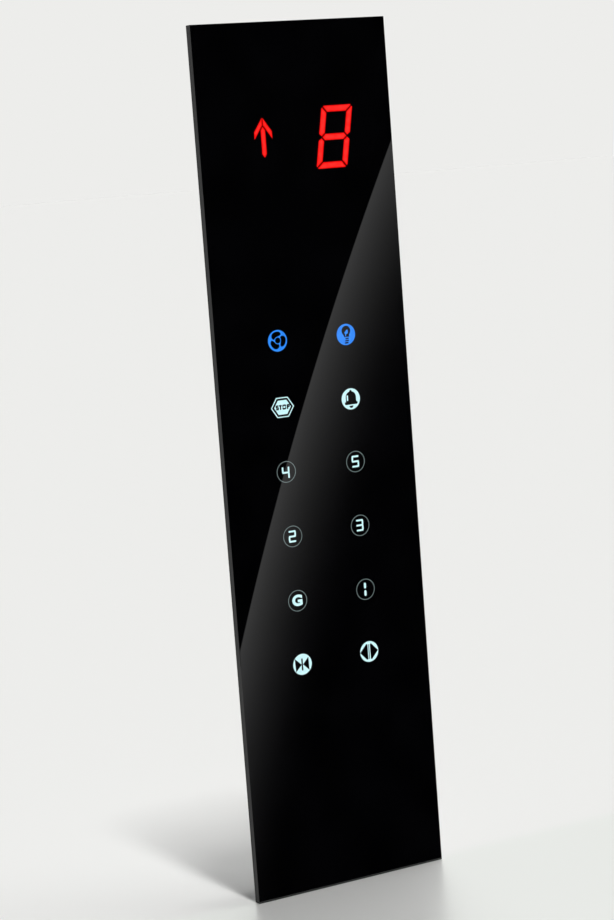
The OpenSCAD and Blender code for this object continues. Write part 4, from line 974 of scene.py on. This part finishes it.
def parts_of(node):
    """The boxes of a CAD node's separate solids, as pairs of corners."""
    copy = bmesh.new()
    copy.from_mesh(nodes[node].data)
    bmesh.ops.remove_doubles(copy, verts=copy.verts[:], dist=WELD)
    boxes, left = [], set(copy.verts)
    while left:
        island, front = set(), [left.pop()]
        while front:
            vert = front.pop()
            island.add(vert)
            around = {edge.other_vert(vert) for edge in vert.link_edges} & left
            left -= around
            front += around
        places = [v.co for v in island]
        boxes.append([Vector([pick(p[i] for p in places) for i in range(3)]) for pick in (min, max)])
    copy.free()
    return sorted(boxes, key=lambda corners: tuple(corners[0]))


print("touch chips at", [[round(v, 4) for v in low] for low, high in parts_of("touch_chips")])

# %% [markdown]
# ## Legs of the chips
# A board without its smallest parts looks like a mock-up, but they are too fine for the solids. A chip's
# leg is a strip that leaves the side, steps down to the board and lies on it: one small square, pushed
# three times by extrude. A row of legs is the same leg, put in place by a matrix, and all are one piece.

# %% Chip legs
LEG_W, LEG_T = 0.36 * MM, 0.16 * MM
LEG_PITCH = 0.8 * MM
LEG_OUT, LEG_DOWN, LEG_FOOT = 0.35 * MM, 0.3 * MM, 0.5 * MM
CORNER_ROOM = 0.5 * MM


def bent_leg(drop):
    """A gull-wing leg along +z, its foot lying the drop below the place where it leaves the chip."""
    leg = bmesh.new()
    bmesh.ops.create_grid(leg, x_segments=1, y_segments=1, size=0.5)
    bmesh.ops.scale(leg, verts=leg.verts[:], vec=(LEG_W, LEG_T, 1.0))
    end = leg.faces[:]
    for step in ((0, 0, LEG_OUT), (0, -drop, LEG_DOWN), (0, 0, LEG_FOOT)):
        grown = bmesh.ops.extrude_face_region(leg, geom=end)["geom"]
        end = [part for part in grown if isinstance(part, bmesh.types.BMFace)]
        bmesh.ops.translate(leg, verts=[v for v in grown if isinstance(v, bmesh.types.BMVert)], vec=step)
    return leg


def leg_row(target, centre, reach, half_row, height, turn):
    """A row of legs along one side of a chip on a board's back, at its reach from the centre."""
    count = int(2 * (half_row - CORNER_ROOM) / LEG_PITCH) + 1
    side = Matrix.Translation(centre) @ Matrix.Rotation(turn, 4, "Y")
    side = side @ Matrix.Translation((0, height, reach))
    for i in range(count):
        along = Matrix.Translation(((i - (count - 1) / 2) * LEG_PITCH, 0, 0))
        merge(target, bent_leg(height - LEG_T / 2), side @ along)


legs = bmesh.new()
for node, sides in (("processor_chip", 4), ("touch_chips", 4), ("display_driver", 2)):
    for low, high in parts_of(node):
        centre, half = (low + high) / 2, (high - low) / 2
        base = Vector((centre.x, low.y, centre.z))
        for turn in range(4) if sides == 4 else (0, 2):
            reach, half_row = (half.z, half.x) if turn % 2 == 0 else (half.x, half.z)
            leg_row(legs, base, reach, half_row, half.y, turn * math.pi / 2)
piece("chip_legs", legs, "front_panel", [tinned])

# %% [markdown]
# ## Surface parts
# A chip resistor is a small block with tin on its two ends, and so are the ceramic capacitors and, a
# little larger, the diodes. The ends could be blocks of their own, but cutting one bevelled block in
# three by two planes leaves no gaps, and the outer faces then get the tin.

# %% Blocks with tinned ends
BLOCK_EDGE = 0.06 * MM


def block(length, height, width, edge):
    """A block about zero with bevelled edges."""
    part = bmesh.new()
    bmesh.ops.create_cube(part, size=1.0, matrix=Matrix.Diagonal((length, height, width, 1.0)))
    soften(part, part.edges[:], edge, 2)
    return part


def capped_block(length, height, width, cap):
    """A chip resistor or capacitor: a block whose two ends (finish 1) are tinned."""
    part = block(length, height, width, BLOCK_EDGE)
    bare = length / 2 - cap
    for side in (-1, 1):
        bmesh.ops.bisect_plane(part, geom=whole(part), plane_co=(side * bare, 0, 0), plane_no=(1, 0, 0))
    for face in part.faces:
        face.material_index = 1 if abs(face.calc_center_median().x) > bare else 0
    return part


def part_row(target, size, board, first, step, count, turn=0.0):
    """A straight row of equal parts on a board's back, each turned by degrees about its normal."""
    for i in range(count):
        x, z = (a + i * b for a, b in zip(first, step))
        place = Matrix.Translation((x * MM, back_of(board) + size[1] / 2, z * MM))
        merge(target, capped_block(*size), place @ Matrix.Rotation(math.radians(turn), 4, "Y"))


chip_levels = [(low.z + high.z) / 2 / MM for low, high in parts_of("touch_chips")]
print("touch chips at heights", [round(z, 1) for z in chip_levels])

# %% [markdown]
# ## Rows of parts
# Every lamp has its resistor, every chip its capacitors, and every terminal a resistor on its way in.
# They stand in straight rows, as an assembly machine sets them, so each row is one call with a start, a
# step and a count, in millimetres on the board.

# %% Rows of surface parts
RESISTOR = (1.6 * MM, 0.45 * MM, 0.8 * MM, 0.3 * MM)
CAPACITOR = (2.0 * MM, 1.0 * MM, 1.25 * MM, 0.45 * MM)
DIODE = (4.4 * MM, 2.2 * MM, 3.6 * MM, 0.5 * MM)

resistors = bmesh.new()
for z in chip_levels:
    for x in (-12.5, 12.5):
        part_row(resistors, RESISTOR, "key_board", (x, z - 5.0), (0.0, 2.0), 6)
part_row(resistors, RESISTOR, "display_board", (-9.1, 218.0), (2.6, 0.0), 8, 90)
part_row(resistors, RESISTOR, "controller_board", (-22.86, -146.5), (5.08, 0.0), 10, 90)
part_row(resistors, RESISTOR, "controller_board", (12.5, -108.5), (0.0, 2.2), 7)
piece("chip_resistors", resistors, "front_panel", [epoxy_black, tinned])

ceramic = moulded("barium_titanate", "#8a7355", "#a58c6b", 0.45, 0.3 * MM, 6e-6)
ceramics = bmesh.new()
for z in chip_levels:
    part_row(ceramics, CAPACITOR, "key_board", (-4.5, z - 10.5), (3.0, 0.0), 4, 90)
part_row(ceramics, CAPACITOR, "display_board", (10.0, 226.5), (0.0, 3.0), 2)
part_row(ceramics, CAPACITOR, "controller_board", (18.5, -91.0), (3.4, 0.0), 4, 90)
part_row(ceramics, CAPACITOR, "controller_board", (-22.5, -110.5), (0.0, 3.4), 3)
piece("chip_capacitors", ceramics, "front_panel", [ceramic, tinned])

diodes = bmesh.new()
part_row(diodes, DIODE, "controller_board", (-36.0, -119.0), (7.0, 0.0), 2)
part_row(diodes, DIODE, "controller_board", (-36.0, -93.5), (0.0, 6.0), 4)
piece("surge_diodes", diodes, "front_panel", [epoxy_black, tinned])

# %% [markdown]
# ## Clock crystal and line drivers
# The processor's clock is a flat oval can with a rolled foot, which is an outline given a depth and a
# bevel. Small eight-leg chips beside it drive the car's data lines. They are the block and the legs from
# above again.

# %% Crystal and line drivers
CRYSTAL_AT, CRYSTAL_HALF_L, CRYSTAL_R, CRYSTAL_H = (6.0, -83.0), 5.1, 1.9, 3.4
FOOT_W, FOOT_H, CAN_ROUND = 0.6, 0.5, 0.5
DRIVER = Vector((4.9, 1.5, 3.9)) * MM
DRIVER_AT = [(x, z) for z in (-90.0, -77.0) for x in (-22.0, -12.0)]


def oval(half_l, radius):
    """A stadium outline about zero, its long axis along x, in mm."""
    side = half_l - radius
    return arc(side, 0, radius, radius, -90, 90) + arc(-side, 0, radius, radius, 90, 270)


board = back_of("controller_board") / MM
can = bmesh.new()
rolled = oval(CRYSTAL_HALF_L + FOOT_W, CRYSTAL_R + FOOT_W)
thicken(can, outline(shifted(rolled, *CRYSTAL_AT)), board, board + FOOT_H)
upper = oval(CRYSTAL_HALF_L, CRYSTAL_R)
thicken(can, outline(shifted(upper, *CRYSTAL_AT)), board + FOOT_H, board + CRYSTAL_H)
top = [e for e in can.edges if all(v.co.y > (board + CRYSTAL_H - 0.1) * MM for v in e.verts)]
soften(can, top, CAN_ROUND * MM, 3)
piece("clock_crystal", can, "front_panel", [die_cast])

drivers, driver_legs = bmesh.new(), bmesh.new()
for x, z in DRIVER_AT:
    place = Vector((x * MM, back_of("controller_board"), z * MM))
    centre = place + Vector((0, DRIVER.y / 2, 0))
    merge(drivers, block(*DRIVER, 0.25 * MM), Matrix.Translation(centre))
    for turn in (0, math.pi):
        leg_row(driver_legs, place, DRIVER.z / 2, DRIVER.x / 2, DRIVER.y / 2, turn)
piece("line_drivers", drivers, "front_panel", [epoxy_black])
piece("line_driver_legs", driver_legs, "front_panel", [tinned])

# %% [markdown]
# ## Solder joints
# The display modules stand on the other side of their board, so on this side only their soldered pins
# show. Each is a little cone with its two rims rounded, which is how molten solder wets a pin.

# %% Solder joints
PIN_PITCH = 5.08 * MM
PIN_EDGE = 2.5 * MM
JOINT_R, PIN_R, JOINT_H = 1.1 * MM, 0.35 * MM, 1.1 * MM


def solder_cone():
    """A cone about zero along z, wide at its foot, with rounded rims."""
    cone = bmesh.new()
    bmesh.ops.create_cone(cone, cap_ends=True, segments=20, radius1=JOINT_R, radius2=PIN_R, depth=JOINT_H)
    rims = {edge for face in cone.faces if len(face.verts) > 4 for edge in face.edges}
    soften(cone, [edge for edge in cone.edges if edge in rims], 0.15 * MM, 2)
    return cone


joints = bmesh.new()
for node, pins in (("digit_display", 5), ("arrow_display", 3)):
    low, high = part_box(node)
    for z in (low.z + PIN_EDGE, high.z - PIN_EDGE):
        for i in range(pins):
            x = (low.x + high.x) / 2 + (i - (pins - 1) / 2) * PIN_PITCH
            foot = Vector((x, back_of("display_board") + 0.5 * MM, z))
            merge(joints, solder_cone(), Matrix.Translation(foot) @ Matrix.Rotation(-math.pi / 2, 4, "X"))
piece("solder_joints", joints, "front_panel", [tinned])

# %% [markdown]
# ## Print on the boards
# A board carries a white print that shows where each part goes. It is a thin frame round the part and a
# dot at its first leg, so each is a hollowed outline a few hundredths of a millimetre high.

# %% White print
PRINT_W = 0.22
PRINT_RISE = 0.03
LEG_ROOM, CASE_ROOM = 1.7, 0.6
PRINTED = {
    "controller_board": {"processor_chip": LEG_ROOM, "relays": CASE_ROOM, "capacitors": CASE_ROOM,
                         "inductor": CASE_ROOM, "buzzer": CASE_ROOM, "reset_switch": CASE_ROOM},
    "key_board": {"touch_chips": LEG_ROOM},
    "display_board": {"display_driver": LEG_ROOM, "digit_display": 0.0, "arrow_display": 0.0},
}


def frame_round(target, corners, board, room):
    """A thin printed frame round a part, as far from it as the room in mm, with a dot at one corner."""
    low, high = corners
    x0, x1 = low.x / MM - room, high.x / MM + room
    z0, z1 = low.z / MM - room, high.z / MM + room
    level = back_of(board) / MM
    rim = hollow(outline([(x0, z0), (x1, z0), (x1, z1), (x0, z1)]), PRINT_W)
    for flat in (rim, disc(x0 - 0.8, z1 + 0.2, 0.4)):
        thicken(target, flat, level + PRINT_RISE, level - PRINT_RISE)


white_print = moulded("white_board_print", "#c9cdc8", "#dde0db", 0.62, 0.4 * MM, 4e-6)
frames = bmesh.new()
for board, rooms in PRINTED.items():
    for node, room in rooms.items():
        for corners in parts_of(node):
            frame_round(frames, corners, board, room)
piece("board_print", frames, "front_panel", [white_print])

# %% [markdown]
# ## Threads
# A thread is a ridge that winds round a rod. Cut into the solids it would only slow the simulation down,
# so it is added here: a small triangle is spun about the rod's axis and moves on by one pitch a turn.

# %% Thread helper
TURN_STEPS = 28
ROOT = 0.05 * MM


def thread(target, nut_face, end, radius, pitch, rise):
    """A ridge that stands proud of a rod by the rise, from inside a nut to the rod's end."""
    axis = (end - nut_face).normalized()
    foot = nut_face - axis * pitch
    turns = math.floor((end - foot).length / pitch) - 1
    ridge = bmesh.new()
    profile = ((radius - ROOT, 0, 0), (radius + rise, 0, pitch / 2), (radius - ROOT, 0, pitch))
    ridge.faces.new([ridge.verts.new(corner) for corner in profile])
    bmesh.ops.spin(ridge, geom=whole(ridge), cent=(0, 0, 0), axis=(0, 0, 1),
                   dvec=(0, 0, pitch / TURN_STEPS), angle=2 * math.pi * turns, steps=TURN_STEPS * turns)
    bmesh.ops.recalc_face_normals(ridge, faces=ridge.faces[:])
    open_edges = sum(edge.is_boundary for edge in ridge.edges)
    merge(target, ridge, Matrix.Translation(foot) @ axis.to_track_quat("Z", "Y").to_matrix().to_4x4())
    return open_edges


print("a turn of thread has", TURN_STEPS, "steps")

# %% [markdown]
# ## Studs and lock barrel
# Three kinds of rod show a thread: the studs that carry the boards, the earth stud and the lock's barrel.
# Only the stretch that shows beyond the nut is made, and one turn inside it. Rod and nut are measured
# from the solids, so the thread follows when they change.

# %% Threads
STUD_PITCH, STUD_RISE = 0.5 * MM, 0.12 * MM
EARTH_PITCH, EARTH_RISE = 0.8 * MM, 0.2 * MM
BARREL_PITCH, BARREL_RISE = 1.0 * MM, 0.3 * MM

mesh, studs, left_open = bmesh.new(), parts_of("carrier_studs"), 0
for low, high in parts_of("board_nuts"):
    face = Vector(((low.x + high.x) / 2, high.y, (low.z + high.z) / 2))
    for stud_low, stud_high in studs:
        if stud_low.x < face.x < stud_high.x and stud_low.z < face.z < stud_high.z:
            end = Vector((face.x, stud_high.y, face.z))
            left_open += thread(mesh, face, end, (stud_high.x - stud_low.x) / 2, STUD_PITCH, STUD_RISE)
piece("stud_threads", mesh, "front_panel", [drawn_brass])

low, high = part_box("earth_stud")
face = Vector(((low.x + high.x) / 2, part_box("earth_nut")[0].y, (low.z + high.z) / 2))
end = Vector((face.x, low.y, face.z))
mesh = bmesh.new()
left_open += thread(mesh, face, end, (high.x - low.x) / 2, EARTH_PITCH, EARTH_RISE)
piece("earth_thread", mesh, "wall_box", [drawn_brass])

low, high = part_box("lock_nut")
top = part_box("lock_barrel")[1].z
face = Vector(((low.x + high.x) / 2, (low.y + high.y) / 2, high.z))
rim = [v.co - face for v in nodes["lock_barrel"].data.vertices if v.co.z > top - 0.01 * MM]
radius = max(offset.xy.length for offset in rim)
mesh = bmesh.new()
left_open += thread(mesh, face, Vector((face.x, face.y, top)), radius, BARREL_PITCH, BARREL_RISE)
piece("barrel_thread", mesh, "wall_box", [die_cast])
print(left_open, "open edges in all threads")

# %% [markdown]
# ## The ribbon's wires
# A flat ribbon is a row of round wires moulded side by side, so its two faces are ribbed. The CAD solid
# already has the ribbon's path. A copy of it is cut lengthwise into narrow strips, and the cut lines
# between the wires are sunk along a half circle.

# %% Ribbon wires
WIRES = 10
CUTS = 6
GROOVE = 0.28 * MM

low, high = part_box("ribbon_lead")
wire_pitch = (high.x - low.x) / WIRES
mesh = bmesh.new()
mesh.from_mesh(nodes["ribbon_lead"].data)
bmesh.ops.remove_doubles(mesh, verts=mesh.verts[:], dist=WELD)
for i in range(1, WIRES * CUTS):
    cut_at = (low.x + i * wire_pitch / CUTS, 0, 0)
    bmesh.ops.bisect_plane(mesh, geom=whole(mesh), plane_co=cut_at, plane_no=(1, 0, 0))
mesh.normal_update()
for vert in mesh.verts:
    across = 2 * ((vert.co.x - low.x) / wire_pitch % 1.0) - 1
    sunk = GROOVE * (1 - math.sqrt(max(0.0, 1 - across * across)))
    vert.co.y -= math.copysign(sunk, vert.normal.y)
piece("ribbon_wires", mesh, "front_panel", [ribbon_grey], ["ribbon_lead"])

# %% [markdown]
# ## Weld beads in the box
# The box's rails are welded to the back plate from inside with short beads. A bead is a row of
# overlapping drops, the way a torch leaves it, so each one is a few flattened spheres in a line.

# %% Weld beads
BEAD_R = 1.3 * MM
BEAD_STEP = 1.5 * MM
BEAD_DROPS = 9
BEAD_AT = range(-240, 241, 80)

plate_low, plate_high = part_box("box_back")
inner_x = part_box("box_side_rails")[1].x - (plate_high.y - plate_low.y)
beads = bmesh.new()
for x in (-inner_x, inner_x):
    for z in BEAD_AT:
        for i in range(BEAD_DROPS):
            spot = Vector((x, plate_low.y, z * MM + (i - (BEAD_DROPS - 1) / 2) * BEAD_STEP))
            drop = Matrix.Translation(spot) @ Matrix.Diagonal((1.0, 1.0, 1.1, 1.0))
            bmesh.ops.create_uvsphere(beads, u_segments=12, v_segments=8, radius=BEAD_R, matrix=drop)
weld_steel = plated("weld_bead_steel", "#6f7072", "#8d8f90", 0.38, 0.55)
piece("weld_beads", beads, "wall_box", [weld_steel])
